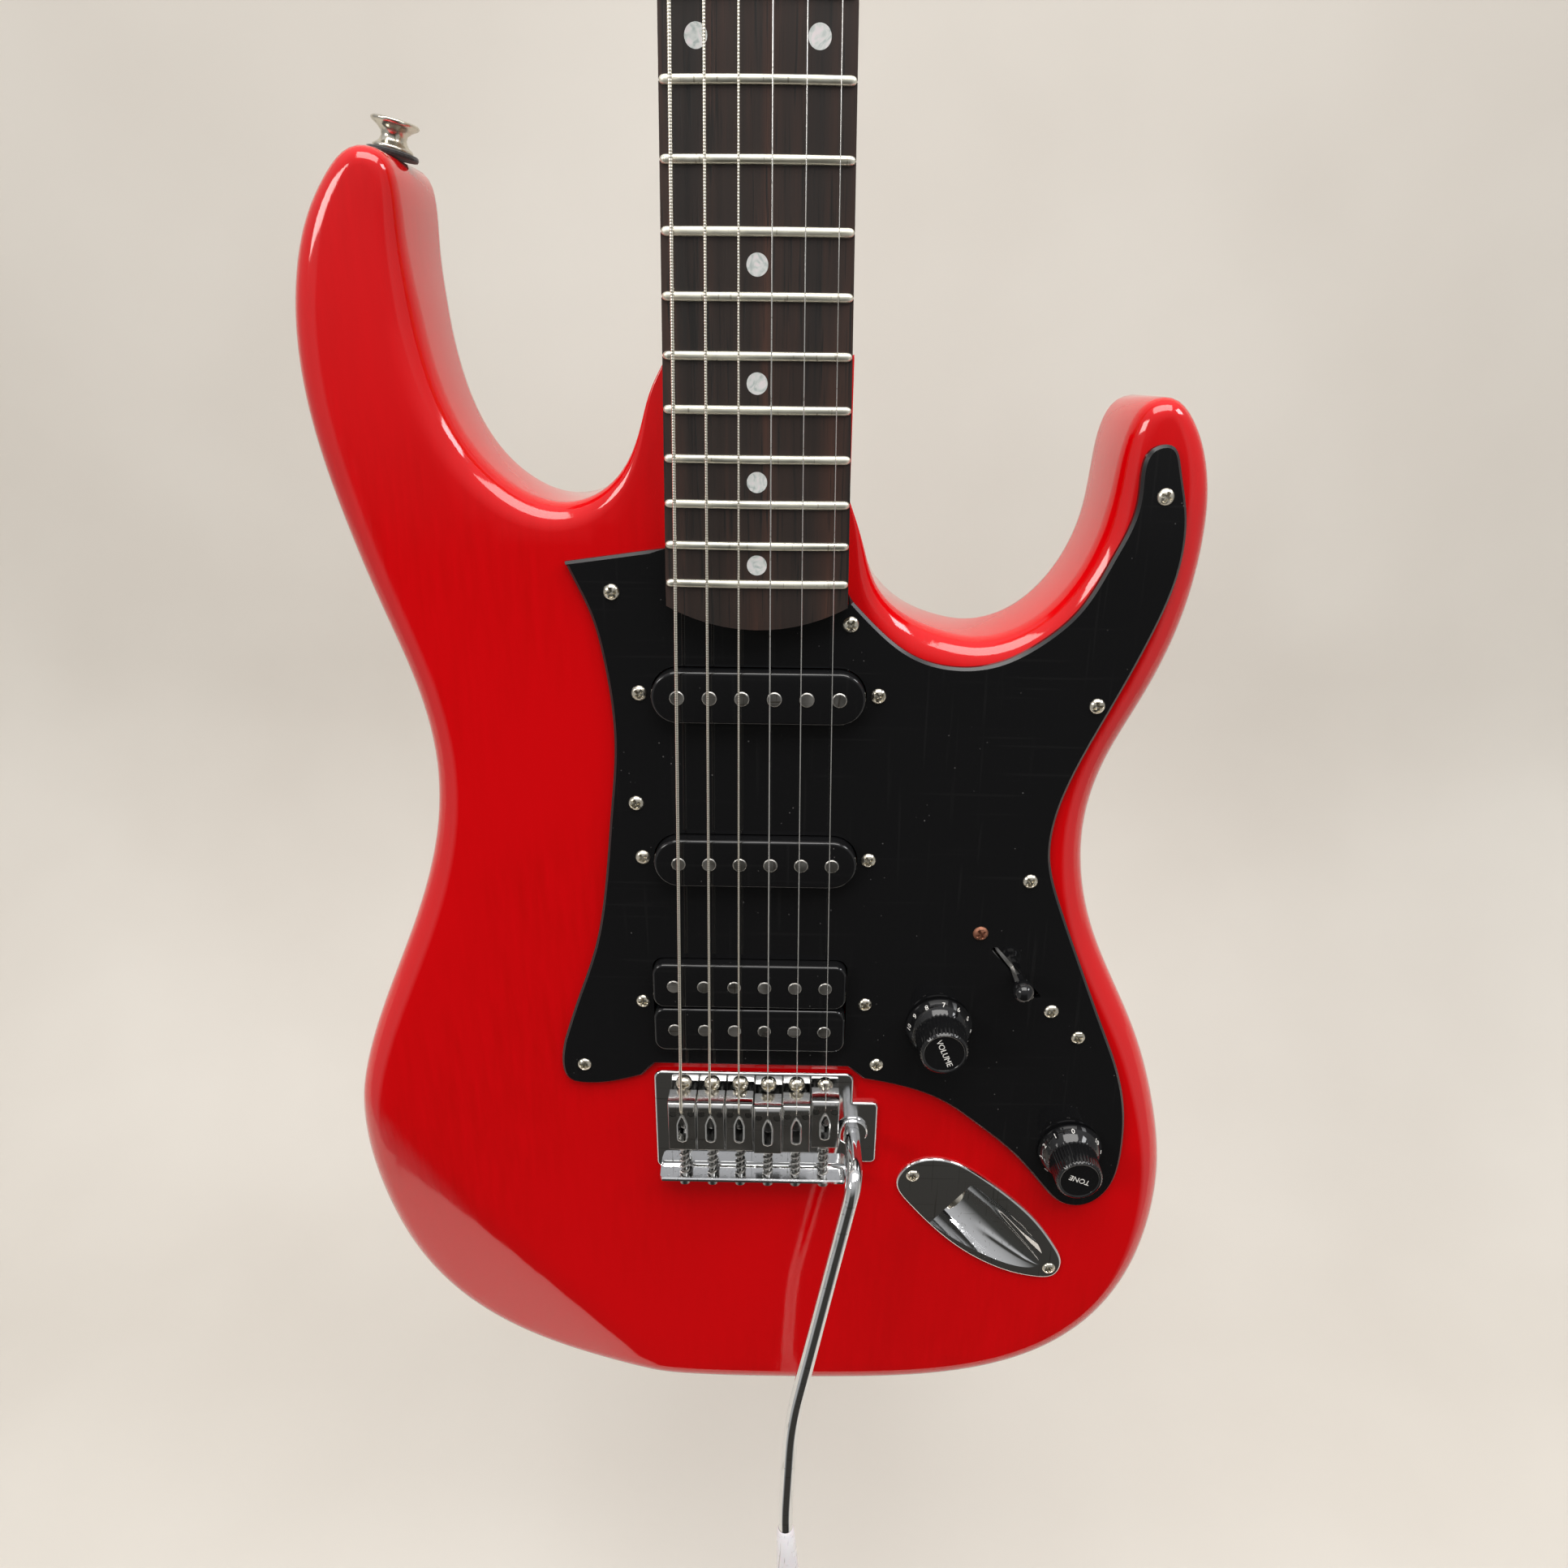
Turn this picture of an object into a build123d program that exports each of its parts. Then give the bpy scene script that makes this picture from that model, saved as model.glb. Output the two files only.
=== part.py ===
from build123d import *
import os
from math import cos, radians, sin

os.makedirs("parts", exist_ok=True)

# Solid-body electric guitar, standing upright. Millimetres. X runs to the treble side, Z up the
# neck, and the front faces -Y. The origin is the seat of the tail strap button, on the
# centreline of the rim at mid thickness. A height h is measured from the body's mid plane
# towards the front, so that h = -y.

# ---------------------------------------------------------------- driving dimensions
SCALE = 648.0            # nut to the string line on the saddles
BRIDGE_Z = 155.5         # string line on the saddles, above the tail
BODY_THICK = 44.0
EDGE_ROUND = 4.0
BEVEL_ANGLE = 14.0       # forearm bevel, below the top face
BEVEL_LINE = ((-97.0, 76.0), (-48.0, 14.0))
BELLY_ANGLE = 10.0       # belly bevel on the back
BELLY_LINE = ((-62.0, 350.0), (-62.0, 190.0))

NUT_WIDTH = 42.4
HEEL_WIDTH = 56.0
BOARD_THICK = 6.0
BOARD_RADIUS = 305.0
BOARD_RISE = 9.5         # board top above the body's top face
HEEL_THICK = 25.4        # board and neck together, at the heel
NECK_THICK_NUT = 21.0
NECK_THICK_12 = 22.5
BOARD_END = 14.2         # board beyond the last fret
FOOT_SAG = 7.0           # rise of the board's round foot at its edges
FRETS = 21
FRET_WIDTH = 2.4
FRET_HIGH = 1.1
TANG_WIDTH = 0.5
TANG_DEEP = 1.6
DOT_R = 3.0
DOT_THICK = 1.5
NUT_THICK = 3.4
NUT_RISE = 1.7           # nut top above the board
HEAD_THICK = 14.0
HEAD_DROP = 3.5          # headstock face below the underside of the board
ROD_R = 3.0

STRING_X = -0.8          # middle of the string band at the bridge
SPREAD_BRIDGE = 53.0     # first string to sixth
SPREAD_NUT = 35.4
STRING_CLEAR = 0.12      # under the string, at the nut
STRING_R = (0.56, 0.44, 0.33, 0.22, 0.17, 0.14)

GAP = 0.1                # round a fixed piece in its seat
FIT = 0.05               # round a shaft that turns in its hole
GUARD_THICK = 2.5
GUARD_GAP = 0.4          # round what stands in the guard's openings
COVER_THICK = 2.0
SCREW_HEAD_R = 2.6
SCREW_HEAD_HIGH = 1.3
SCREW_R = 1.4
SCREW_LONG = 12.0
LONG_SCREW_R = 2.0
LONG_HEAD_R = 4.0

PICKUPS = ((0.4, 311.1), (-0.5, 252.5))
SINGLE_LONG = 69.0
SINGLE_WIDE = 17.5
SINGLE_SCREWS = 77.5
POLE_R = 2.4
POLE_SPREAD = 52.0
POLE_LONG = 17.0
TWIN = (-2.5, 194.8)     # centre of the twin-coil pickup
TWIN_COIL = 17.6
TWIN_SPACING = 18.2
TWIN_SCREWS = 80.5
PICKUP_RISE = 7.6        # cover top above the body's top face
COVER_DEEP = 12.0
COVER_WALL = 1.2

VOLUME = (66.4, 186.5)
TONE = (119.8, 132.0)
KNOB_R = 12.2
KNOB_BARREL_R = 8.8
KNOB_TOP_R = 8.3
KNOB_HIGH = 17.0
KNOB_GAP = 0.8           # knob above the guard
POT_R = 8.2
POT_DEEP = 9.0
BUSHING_R = 3.5
POT_SHAFT_R = 3.0
SELECTOR = (92.9, 209.0)
SELECTOR_TURN = -48.5    # direction of the slot in the face
SELECTOR_SCREWS = 42.4
SLOT_LONG = 27.4
SLOT_WIDE = 2.2
LEVER_THICK = 1.4
LEVER_PIVOT = 20.0       # lever pin below the guard's face
LEVER_RISE = 10.0        # lever above the guard

PLATE_X = (-38.6, 36.4)
PLATE_Z = (-36.5, 8.3)   # from the string line
PLATE_THICK = 2.0
PLATE_WALL = 8.0         # height of the bent wall at the plate's back edge
EAR_X = 46.0
EAR_Z = (-32.5, -4.6)
PIVOT_Z = 3.6
PIVOT_HOLE_R = 2.3
BLOCK_X = (-32.0, 30.0)
BLOCK_Z = (-15.0, -4.0)
BLOCK_DEEP = 40.0
ARM = (36.5, -17.0)      # arm hole, from the string line
ARM_R = 2.9
SADDLE_PITCH = 10.6
SADDLE_WIDE = 10.2
SADDLE_LONG = 22.0
SADDLE_RISE = 13.7       # saddle top above the body's top face
SADDLE_FORE = (0.0, 0.0, 0.0, -1.2, -0.4, 2.0)
SPRING_R = 3.5

JACK = (77.0, 102.7)     # middle of the jack wall's top edge
JACK_TURN = -38.4
JACK_TILT = 16.6         # plug axis, above the plane of the top
SCOOP_R = 12.8
SCOOP_WALL = 1.2
SOCKET_DEEP = 6.5
PLUG_R = 3.25

TUNER_PITCH = 25.4
TUNER_FIRST = 28.5       # first post above the nut
POST_R = 3.0
POST_RISE = 13.0         # post above the headstock face
HOUSING = (17.0, 15.5, 9.5)
WORM_OFFSET = 6.0        # key shaft from the post, along the headstock

# ---------------------------------------------------------------- derived places
TOP = BODY_THICK / 2
BACK = -BODY_THICK / 2
BOARD_TOP = TOP + BOARD_RISE
BOARD_LOW = BOARD_TOP - BOARD_THICK
POCKET_FLOOR = BOARD_TOP - HEEL_THICK
HEAD_FACE = BOARD_LOW - HEAD_DROP
HEAD_BACK = HEAD_FACE - HEAD_THICK
NUT_Z = BRIDGE_Z + SCALE
FRET_Z = [BRIDGE_Z + SCALE * 2 ** (-n / 12) for n in range(FRETS + 1)]
BOARD_FOOT = FRET_Z[FRETS] - BOARD_END
GUARD_TOP = TOP + GUARD_THICK
STEPS = (-0.5, -0.3, -0.1, 0.1, 0.3, 0.5)
BLOCK_MID = (BLOCK_Z[0] + BLOCK_Z[1]) / 2
BLOCK_LOW = TOP - BLOCK_DEEP


def face(h):
    """Plane parallel to the top at height h, drawn in X and Z and facing the front."""
    return Plane.XZ.offset(h)


def finish(part, label):
    """Names a finished piece and writes it."""
    part.label = label
    export_step(part, f"parts/{label}.step")


def board_half(z):
    """Half the board's width at z, on the straight taper from the nut to the last fret."""
    share = (NUT_Z - z) / (NUT_Z - FRET_Z[FRETS])
    return (NUT_WIDTH + share * (HEEL_WIDTH - NUT_WIDTH)) / 2


def string_x(step, z):
    """X of a string at z, for its step across the band from -0.5 to 0.5."""
    share = (z - BRIDGE_Z) / SCALE
    return (STRING_X + step * SPREAD_BRIDGE) * (1 - share) + step * SPREAD_NUT * share


def string_h(radius, z):
    """Height of a string of this radius at z, between the saddles and the nut."""
    share = (z - BRIDGE_Z) / SCALE
    saddle = TOP + SADDLE_RISE + STRING_CLEAR + radius
    nut = BOARD_TOP + FRET_HIGH + 2 * STRING_CLEAR + radius
    return saddle + share * (nut - saddle)


def along(centre, turn, distance, across=0.0):
    """Point in the face at a distance along a direction from a centre."""
    a = radians(turn)
    return (centre[0] + distance * cos(a) - across * sin(a), centre[1] + distance * sin(a) + across * cos(a))


def spots(points, h, radius, length, mode=Mode.ADD):
    """Round pegs or holes on the face at height h, one at each point."""
    with BuildSketch(face(h)) as rounds:
        with Locations(*points):
            Circle(radius)
    extrude(rounds.sketch, amount=length, mode=mode)


def rod(start, end, radius, mode=Mode.ADD):
    """A round bar between two points of X, h and Z."""
    a = Vector(start[0], -start[1], start[2])
    b = Vector(end[0], -end[1], end[2])
    with BuildSketch(Plane(origin=a, z_dir=b - a)) as section:
        Circle(radius)
    extrude(section.sketch, amount=(b - a).length, mode=mode)


def slab(outline, h, thick, mode=Mode.ADD):
    """A plate of a straight-sided outline on the face at height h."""
    with BuildSketch(face(h)) as plate:
        with BuildLine():
            Polyline(*outline, close=True)
        make_face()
    extrude(plate.sketch, amount=thick, mode=mode)


def screws(points, h, head_r, head_high, shank_r, length):
    """Round-head screws whose heads sit on the face at height h and whose shanks go into the back."""
    spots(points, h, head_r, head_high)
    spots(points, h, shank_r, -length)


# ---------------------------------------------------------------- body
BODY_EDGE = [
    (28.0, 372.0), (32.5, 359.5), (38.0, 345.0), (48.0, 335.5), (60.0, 330.5), (72.0, 328.8),
    (84.0, 332.0), (95.0, 340.5), (103.0, 352.5), (108.0, 368.0), (109.8, 384.0), (111.6, 394.0),
    (116.0, 401.2), (123.0, 402.8), (130.5, 396.8), (136.0, 386.0), (139.3, 371.0),
    (139.3, 355.0), (135.5, 332.0), (127.0, 308.5), (118.0, 288.0), (113.6, 268.5),
    (114.5, 246.0), (121.0, 222.5), (131.0, 201.0), (142.5, 177.5), (152.5, 149.0),
    (158.8, 119.0), (159.0, 90.0), (153.5, 62.5), (140.5, 37.5), (121.0, 19.5), (95.0, 8.0),
    (63.0, 2.2), (30.0, 0.4), (0.0, 0.0), (-34.0, 0.8), (-70.0, 4.5), (-103.0, 13.5),
    (-129.0, 31.0), (-145.5, 55.5), (-154.0, 85.0), (-156.8, 116.0), (-153.5, 147.5),
    (-145.0, 175.0), (-133.0, 203.0), (-120.5, 232.5), (-112.5, 260.0), (-110.3, 284.0),
    (-113.8, 309.0), (-122.5, 337.0), (-131.5, 368.0), (-136.8, 395.0), (-137.2, 421.0),
    (-131.2, 445.0), (-121.8, 459.5), (-112.0, 466.2), (-104.4, 464.0), (-101.6, 455.5),
    (-101.4, 443.5), (-100.2, 428.0), (-97.0, 408.0), (-89.5, 389.0), (-77.0, 375.5),
    (-62.0, 370.0), (-50.0, 373.0), (-41.0, 381.0), (-35.5, 392.5), (-32.0, 403.0),
    (-28.0, 410.5),
]
SHELF_TOP = 410.5
SHELF_STEP = 3.0


def bevel_plane(line, angle, h, sign):
    """Plane through a line on a face, tipped by an angle so that it falls away towards -X."""
    (x0, z0), (x1, z1) = line
    run = Vector(x1 - x0, 0, z1 - z0).normalized()
    out = Vector(run.Z, 0, -run.X)
    if out.X > 0:
        out = -out
    normal = Vector(0, -sign, 0) * cos(radians(angle)) + out * sin(radians(angle))
    return Plane(origin=(x0, -h, z0), x_dir=run, z_dir=normal)


GUARD_SCREWS = [
    (-45.8, 343.8), (-40.8, 272.5), (-64.2, 166.8), (29.5, 334.5), (44.5, 168.8), (94.4, 245.5),
    (117.9, 182.1), (127.4, 112.6), (122.8, 374.8), (110.0, 308.8),
]
SINGLE_PIT = (86.0, 25.0)
TWIN_PIT = (90.0, 42.0)
PIT_DEEP = 20.0
CONTROL_PIT = [
    (52.0, 183.0), (58.0, 170.0), (101.0, 122.0), (110.0, 119.0), (128.0, 120.0), (132.0, 142.0),
    (112.5, 180.0), (116.0, 194.5), (95.0, 232.0), (76.0, 236.0), (58.0, 214.0),
]
CONTROL_DEEP = 36.0
SLOT_X = (BLOCK_X[0] - 3, BLOCK_X[1] + 3)
SLOT_Z = (-26.0, 1.0)
SPRING_PIT_X = (-29.0, 29.0)
SPRING_PIT_Z = (SLOT_Z[0] - 5.0, 112.0)
SPRING_H = -14.0
SPRING_PIT_DEEP = SPRING_H + 9.0 - BACK
ARM_PIT_R = 8.5
ARM_PIT_DEEP = 17.0
COVER_X = 84.0
COVER_Z = 156.0
COVER_MID = BRIDGE_Z + (SPRING_PIT_Z[0] + SPRING_PIT_Z[1]) / 2
COVER_INSET = 5.0        # cover screws from the cover's edge
COVER_SCREWS = [
    (sx * (COVER_X / 2 - COVER_INSET), COVER_MID + sz * (COVER_Z / 2 - COVER_INSET))
    for sx in (-1, 1) for sz in (-1, 0, 1)
]
NECK_PLATE = (51.0, 64.0)
NECK_PLATE_Z = 373.0
NECK_SCREWS = [(sx * 19.0, NECK_PLATE_Z + sz * 25.5) for sx in (-1, 1) for sz in (-1, 1)]
NECK_SCREW_LONG = 42.0
PIVOT_SCREWS = [(STRING_X + k * SADDLE_PITCH, BRIDGE_Z + PIVOT_Z) for k in (-2.5, -1.5, -0.5, 0.5, 1.5, 2.5)]
PIVOT_SCREW_R = 1.7
PIVOT_LONG = 22.0
JACK_SCREWS = [(61.0, 116.5), (118.6, 70.9)]
HEEL_TOP = 404.0
HORN_SEAT = (-108.2, 465.9)
HORN_TURN = 77.5         # direction of the horn button's axis in the face
TAIL_SEAT = (0.0, 0.0)
TAIL_TURN = -90.0
SEAT_R = 7.3
SEAT_CLEAR = 6.0         # height of the spot face above the horn's seat
BUTTON_SCREW_LONG = 25.0
CLAW_Z = BRIDGE_Z + 97.0
CLAW_H = SPRING_H
CLAW_SCREWS_X = (-20.0, 20.0)
CLAW_SCREW_LONG = 40.0


def jack_axis():
    """Unit vector of the plug's way out, in X, h and Z."""
    t = radians(JACK_TILT)
    a = radians(JACK_TURN)
    return (cos(t) * cos(a), sin(t), cos(t) * sin(a))


def jack_point(out, below=0.0):
    """Point on a line parallel to the plug's axis, a distance out of the jack wall."""
    u = jack_axis()
    t = radians(JACK_TILT)
    a = radians(JACK_TURN)
    down = (sin(t) * cos(a), -cos(t), sin(t) * sin(a))
    return tuple(p + out * q + below * d for p, q, d in zip((JACK[0], TOP, JACK[1]), u, down))


with BuildPart() as body:
    with BuildSketch(face(BACK)):
        with BuildLine():
            edge = Spline(*BODY_EDGE)
            Polyline(edge @ 1, (-28, SHELF_TOP + SHELF_STEP), (28, SHELF_TOP + SHELF_STEP), edge @ 0)
        make_face()
    extrude(amount=BODY_THICK)
    fillet(body.edges().filter_by(GeomType.BSPLINE), EDGE_ROUND)
    split(bisect_by=bevel_plane(BEVEL_LINE, BEVEL_ANGLE, TOP, 1), keep=Keep.BOTTOM)
    split(bisect_by=bevel_plane(BELLY_LINE, BELLY_ANGLE, BACK, -1), keep=Keep.BOTTOM)
    # neck pocket, open at its upper end
    with BuildSketch(face(TOP)):
        with BuildLine():
            pocket = HEEL_WIDTH / 2 + GAP
            floor_z = BOARD_FOOT - GAP
            foot = ThreePointArc((-pocket, floor_z + FOOT_SAG), (0, floor_z), (pocket, floor_z + FOOT_SAG))
            Polyline(foot @ 1, (pocket, SHELF_TOP + 9), (-pocket, SHELF_TOP + 9), foot @ 0)
        make_face()
    extrude(amount=POCKET_FLOOR - TOP, mode=Mode.SUBTRACT)
    # pits under the guard, joined by a channel for the wires
    with BuildSketch(face(TOP)):
        with Locations(*PICKUPS):
            RectangleRounded(*SINGLE_PIT, 6)
        with Locations(TWIN):
            RectangleRounded(*TWIN_PIT, 5)
        with Locations((0, (PICKUPS[0][1] + TWIN[1]) / 2)):
            Rectangle(24, PICKUPS[0][1] - TWIN[1])
        with Locations((46, TWIN[1])):
            Rectangle(26, 12)
    extrude(amount=-PIT_DEEP, mode=Mode.SUBTRACT)
    with BuildSketch(face(TOP)) as control_sketch:
        with BuildLine():
            Polyline(*CONTROL_PIT, close=True)
        make_face()
        fillet(control_sketch.vertices(), 3)
    extrude(amount=-CONTROL_DEEP, mode=Mode.SUBTRACT)
    # slot for the bridge block, spring cavity in the back, pit for the arm's socket
    with BuildSketch(face(TOP)):
        with Locations(((SLOT_X[0] + SLOT_X[1]) / 2, BRIDGE_Z + (SLOT_Z[0] + SLOT_Z[1]) / 2)):
            Rectangle(SLOT_X[1] - SLOT_X[0], SLOT_Z[1] - SLOT_Z[0])
    extrude(amount=-BODY_THICK, mode=Mode.SUBTRACT)
    with BuildSketch(face(BACK)):
        with Locations((0, COVER_MID)):
            RectangleRounded(SPRING_PIT_X[1] - SPRING_PIT_X[0], SPRING_PIT_Z[1] - SPRING_PIT_Z[0], 4)
        with Locations((-1, BRIDGE_Z + SPRING_PIT_Z[0] + 18)):
            RectangleRounded(SLOT_X[1] - SLOT_X[0] + 2, 36, 4)
    extrude(amount=SPRING_PIT_DEEP, mode=Mode.SUBTRACT)
    spots([(ARM[0], BRIDGE_Z + ARM[1])], TOP, ARM_PIT_R, -ARM_PIT_DEEP, Mode.SUBTRACT)
    # jack scoop, its pit and the wire hole to the controls
    rod(jack_point(-SCOOP_WALL - 0.5), jack_point(60), SCOOP_R + SCOOP_WALL + 0.5, Mode.SUBTRACT)
    rod(jack_point(-17, SOCKET_DEEP), jack_point(0, SOCKET_DEEP), 10, Mode.SUBTRACT)
    rod((82, -4, 107), (104, -4, 128), 3, Mode.SUBTRACT)
    # screw holes
    spots(GUARD_SCREWS, TOP, SCREW_R + GAP, -SCREW_LONG, Mode.SUBTRACT)
    spots(JACK_SCREWS, TOP, SCREW_R + GAP, -SCREW_LONG, Mode.SUBTRACT)
    spots(PIVOT_SCREWS, TOP, PIVOT_SCREW_R + GAP, -PIVOT_LONG, Mode.SUBTRACT)
    spots(COVER_SCREWS, BACK, SCREW_R + GAP, SCREW_LONG, Mode.SUBTRACT)
    spots(NECK_SCREWS, BACK, LONG_SCREW_R + GAP, NECK_SCREW_LONG, Mode.SUBTRACT)
    for x in CLAW_SCREWS_X:
        rod((x, CLAW_H, CLAW_Z), (x, CLAW_H, CLAW_Z + CLAW_SCREW_LONG), LONG_SCREW_R + GAP, Mode.SUBTRACT)
    for seat, turn in ((HORN_SEAT, HORN_TURN), (TAIL_SEAT, TAIL_TURN)):
        inner = along(seat, turn, -BUTTON_SCREW_LONG - 1)
        outer = along(seat, turn, SEAT_CLEAR)
        rod((inner[0], 0, inner[1]), (outer[0], 0, outer[1]), LONG_SCREW_R + GAP, Mode.SUBTRACT)
    horn_out = along(HORN_SEAT, HORN_TURN, SEAT_CLEAR)
    rod((HORN_SEAT[0], 0, HORN_SEAT[1]), (horn_out[0], 0, horn_out[1]), SEAT_R + 1, Mode.SUBTRACT)
finish(body.part, "body")


# ---------------------------------------------------------------- neck
TUNER_LINE = Vector(SPREAD_NUT / 5, 0, TUNER_PITCH).normalized()
TUNER_ALONG = (TUNER_LINE.X, TUNER_LINE.Z)
TUNER_OUT = (-TUNER_LINE.Z, TUNER_LINE.X)
POSTS = [
    (step * SPREAD_NUT - POST_R - r, NUT_Z + TUNER_FIRST + k * TUNER_PITCH)
    for k, (step, r) in enumerate(zip(STEPS, STRING_R))
]
BUSHING_HOLE_R = 4.6
def above_nut(*points):
    """Points in the face given by x and the distance above the nut."""
    return [(x, NUT_Z + up) for x, up in points]


HEAD_RIGHT = above_nut((21.2, 8.5), (24.5, 31.5), (28.5, 71.5), (34.0, 116.5), (37.5, 151.5), (35.0, 171.5))
HEAD_TIP = above_nut((24.0, 182.5), (12.0, 179.5))
HEAD_SIDE = above_nut((4.5, 164.5), (-32.5, 31.5))
HEAD_SHOULDER = above_nut((-31.0, 18.5), (-23.0, 9.5))


def neck_section(z, depth):
    """Rounded section of the neck across the board's width, drawn at z and depth thick with the board."""
    half = board_half(z)
    with BuildSketch(Plane.XY.offset(z)) as section:
        with BuildLine():
            ends = ((half, -BOARD_LOW), (-half, -BOARD_LOW))
            Spline(ends[0], (0, depth - BOARD_TOP), ends[1], tangents=((0, 1), (0, -1)))
            Line(ends[1], ends[0])
        make_face()
    return section.sketch


def at_post(post, out, up=0.0):
    """Point on the headstock at a distance outwards from a post and along the row of tuners."""
    x = post[0] + out * TUNER_OUT[0] + up * TUNER_ALONG[0]
    z = post[1] + out * TUNER_OUT[1] + up * TUNER_ALONG[1]
    return (x, z)


TUNER_SCREWS = [at_post(p, -HOUSING[0] / 2 - 2.3, 3.0) for p in POSTS]
TREE_POINTS = [(7.1, NUT_Z + 48.0), (14.2, NUT_Z + 62.0)]

with BuildPart() as neck:
    stations = (
        (HEEL_TOP - 1, HEEL_THICK - 1), (FRET_Z[12], NECK_THICK_12), (NUT_Z + NUT_THICK, NECK_THICK_NUT),
    )
    loft([neck_section(z, depth) for z, depth in stations])
    with BuildSketch(face(POCKET_FLOOR)):
        with BuildLine():
            w = HEEL_WIDTH / 2
            foot = ThreePointArc((-w, BOARD_FOOT + FOOT_SAG), (0, BOARD_FOOT), (w, BOARD_FOOT + FOOT_SAG))
            Polyline(foot @ 1, (board_half(HEEL_TOP), HEEL_TOP), (-board_half(HEEL_TOP), HEEL_TOP), foot @ 0)
        make_face()
    extrude(amount=BOARD_LOW - POCKET_FLOOR)
    with BuildSketch(face(HEAD_BACK)):
        with BuildLine():
            head_right = Spline((NUT_WIDTH / 2, NUT_Z), *HEAD_RIGHT, *HEAD_TIP, HEAD_SIDE[0])
            head_side = Line(head_right @ 1, HEAD_SIDE[1])
            head_shoulder = Spline(head_side @ 1, *HEAD_SHOULDER, (-NUT_WIDTH / 2, NUT_Z))
            Line(head_shoulder @ 1, head_right @ 0)
        make_face()
    extrude(amount=HEAD_THICK)
    spots(POSTS, HEAD_BACK, BUSHING_HOLE_R, HEAD_THICK, Mode.SUBTRACT)
    spots(TUNER_SCREWS, HEAD_BACK, 1.0 + GAP, 8, Mode.SUBTRACT)
    spots(TREE_POINTS, HEAD_FACE, 1.0 + GAP, -8, Mode.SUBTRACT)
    spots(NECK_SCREWS, POCKET_FLOOR, LONG_SCREW_R + GAP, NECK_SCREW_LONG + BACK - POCKET_FLOOR, Mode.SUBTRACT)
    with BuildSketch(face(BOARD_LOW)):
        with Locations((0, (BOARD_FOOT + 12 + NUT_Z - 20) / 2)):
            Rectangle(2 * ROD_R + 2 * GAP, NUT_Z - 20 - BOARD_FOOT - 12)
    extrude(amount=-2 * ROD_R - 2 * GAP, mode=Mode.SUBTRACT)
finish(neck.part, "neck")

with BuildPart() as truss_rod:
    rod_h = BOARD_LOW - ROD_R - GAP
    rod((0, rod_h, BOARD_FOOT + 14), (0, rod_h, NUT_Z - 22), ROD_R)
finish(truss_rod.part, "truss_rod")


def crown(radius):
    """Keeps what lies under the board's cylindrical top."""
    with BuildSketch(Plane.XY.offset(BOARD_FOOT - 5)) as under:
        with Locations((0, radius - BOARD_TOP)):
            Circle(radius)
    extrude(under.sketch, amount=NUT_Z - BOARD_FOOT + 10, mode=Mode.INTERSECT)


DOTS = [(0.0, (FRET_Z[n - 1] + FRET_Z[n]) / 2) for n in (3, 5, 7, 9, 15, 17, 19, 21)]
DOTS += [(x, (FRET_Z[11] + FRET_Z[12]) / 2) for x in (-16.0, 16.0)]

with BuildPart() as fingerboard:
    with BuildSketch(face(BOARD_LOW)):
        with BuildLine():
            w = HEEL_WIDTH / 2
            foot = ThreePointArc((-w, BOARD_FOOT + FOOT_SAG), (0, BOARD_FOOT), (w, BOARD_FOOT + FOOT_SAG))
            Polyline(
                foot @ 1, (w, FRET_Z[FRETS]), (NUT_WIDTH / 2, NUT_Z),
                (-NUT_WIDTH / 2, NUT_Z), (-w, FRET_Z[FRETS]), foot @ 0
            )
        make_face()
    extrude(amount=BOARD_THICK)
    crown(BOARD_RADIUS)
    for z in FRET_Z[1:]:
        with BuildSketch(face(BOARD_TOP + 1)):
            with Locations((0, z)):
                Rectangle(70, TANG_WIDTH + 2 * FIT)
        extrude(amount=-TANG_DEEP - 3, mode=Mode.SUBTRACT)
    spots(DOTS, BOARD_TOP - DOT_THICK, DOT_R + FIT, 5, Mode.SUBTRACT)
finish(fingerboard.part, "fingerboard")

with BuildPart() as frets:
    for z in FRET_Z[1:]:
        with BuildSketch(Plane.XY.offset(z - FRET_WIDTH / 2)):
            with Locations((0, BOARD_RADIUS - BOARD_TOP)):
                Circle(BOARD_RADIUS + FRET_HIGH)
                Circle(BOARD_RADIUS + 0.02, mode=Mode.SUBTRACT)
            with Locations((0, -BOARD_TOP)):
                Rectangle(2 * board_half(z) - 0.6, 8, mode=Mode.INTERSECT)
        extrude(amount=FRET_WIDTH)
    fillet(frets.edges().filter_by(GeomType.CIRCLE).group_by(SortBy.RADIUS)[-1], 0.7)
    for z in FRET_Z[1:]:
        with BuildSketch(Plane.XY.offset(z - TANG_WIDTH / 2)):
            with Locations((0, -BOARD_TOP + TANG_DEEP / 2 + 1)):
                Rectangle(2 * board_half(z) - 1.6, TANG_DEEP + 1.4)
        extrude(amount=TANG_WIDTH)
finish(frets.part, "frets")

with BuildPart() as position_dots:
    spots(DOTS, BOARD_TOP - DOT_THICK, DOT_R, DOT_THICK + 1)
    crown(BOARD_RADIUS)
finish(position_dots.part, "position_dots")

with BuildPart() as nut:
    with BuildSketch(face(BOARD_LOW)):
        with Locations((0, NUT_Z + NUT_THICK / 2)):
            Rectangle(NUT_WIDTH, NUT_THICK)
    extrude(amount=BOARD_THICK + NUT_RISE)
    fillet(nut.faces().sort_by(Axis.Y)[0].edges(), 0.5)
    for step, r in zip(STEPS, STRING_R):
        x = step * SPREAD_NUT
        low = string_h(r, NUT_Z) - r - STRING_CLEAR
        slab(
            [(x + side * (r + GAP), NUT_Z + z) for side, z in ((-1, -1), (1, -1), (1, 5), (-1, 5))],
            low, 6, Mode.SUBTRACT,
        )
finish(nut.part, "nut")


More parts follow.
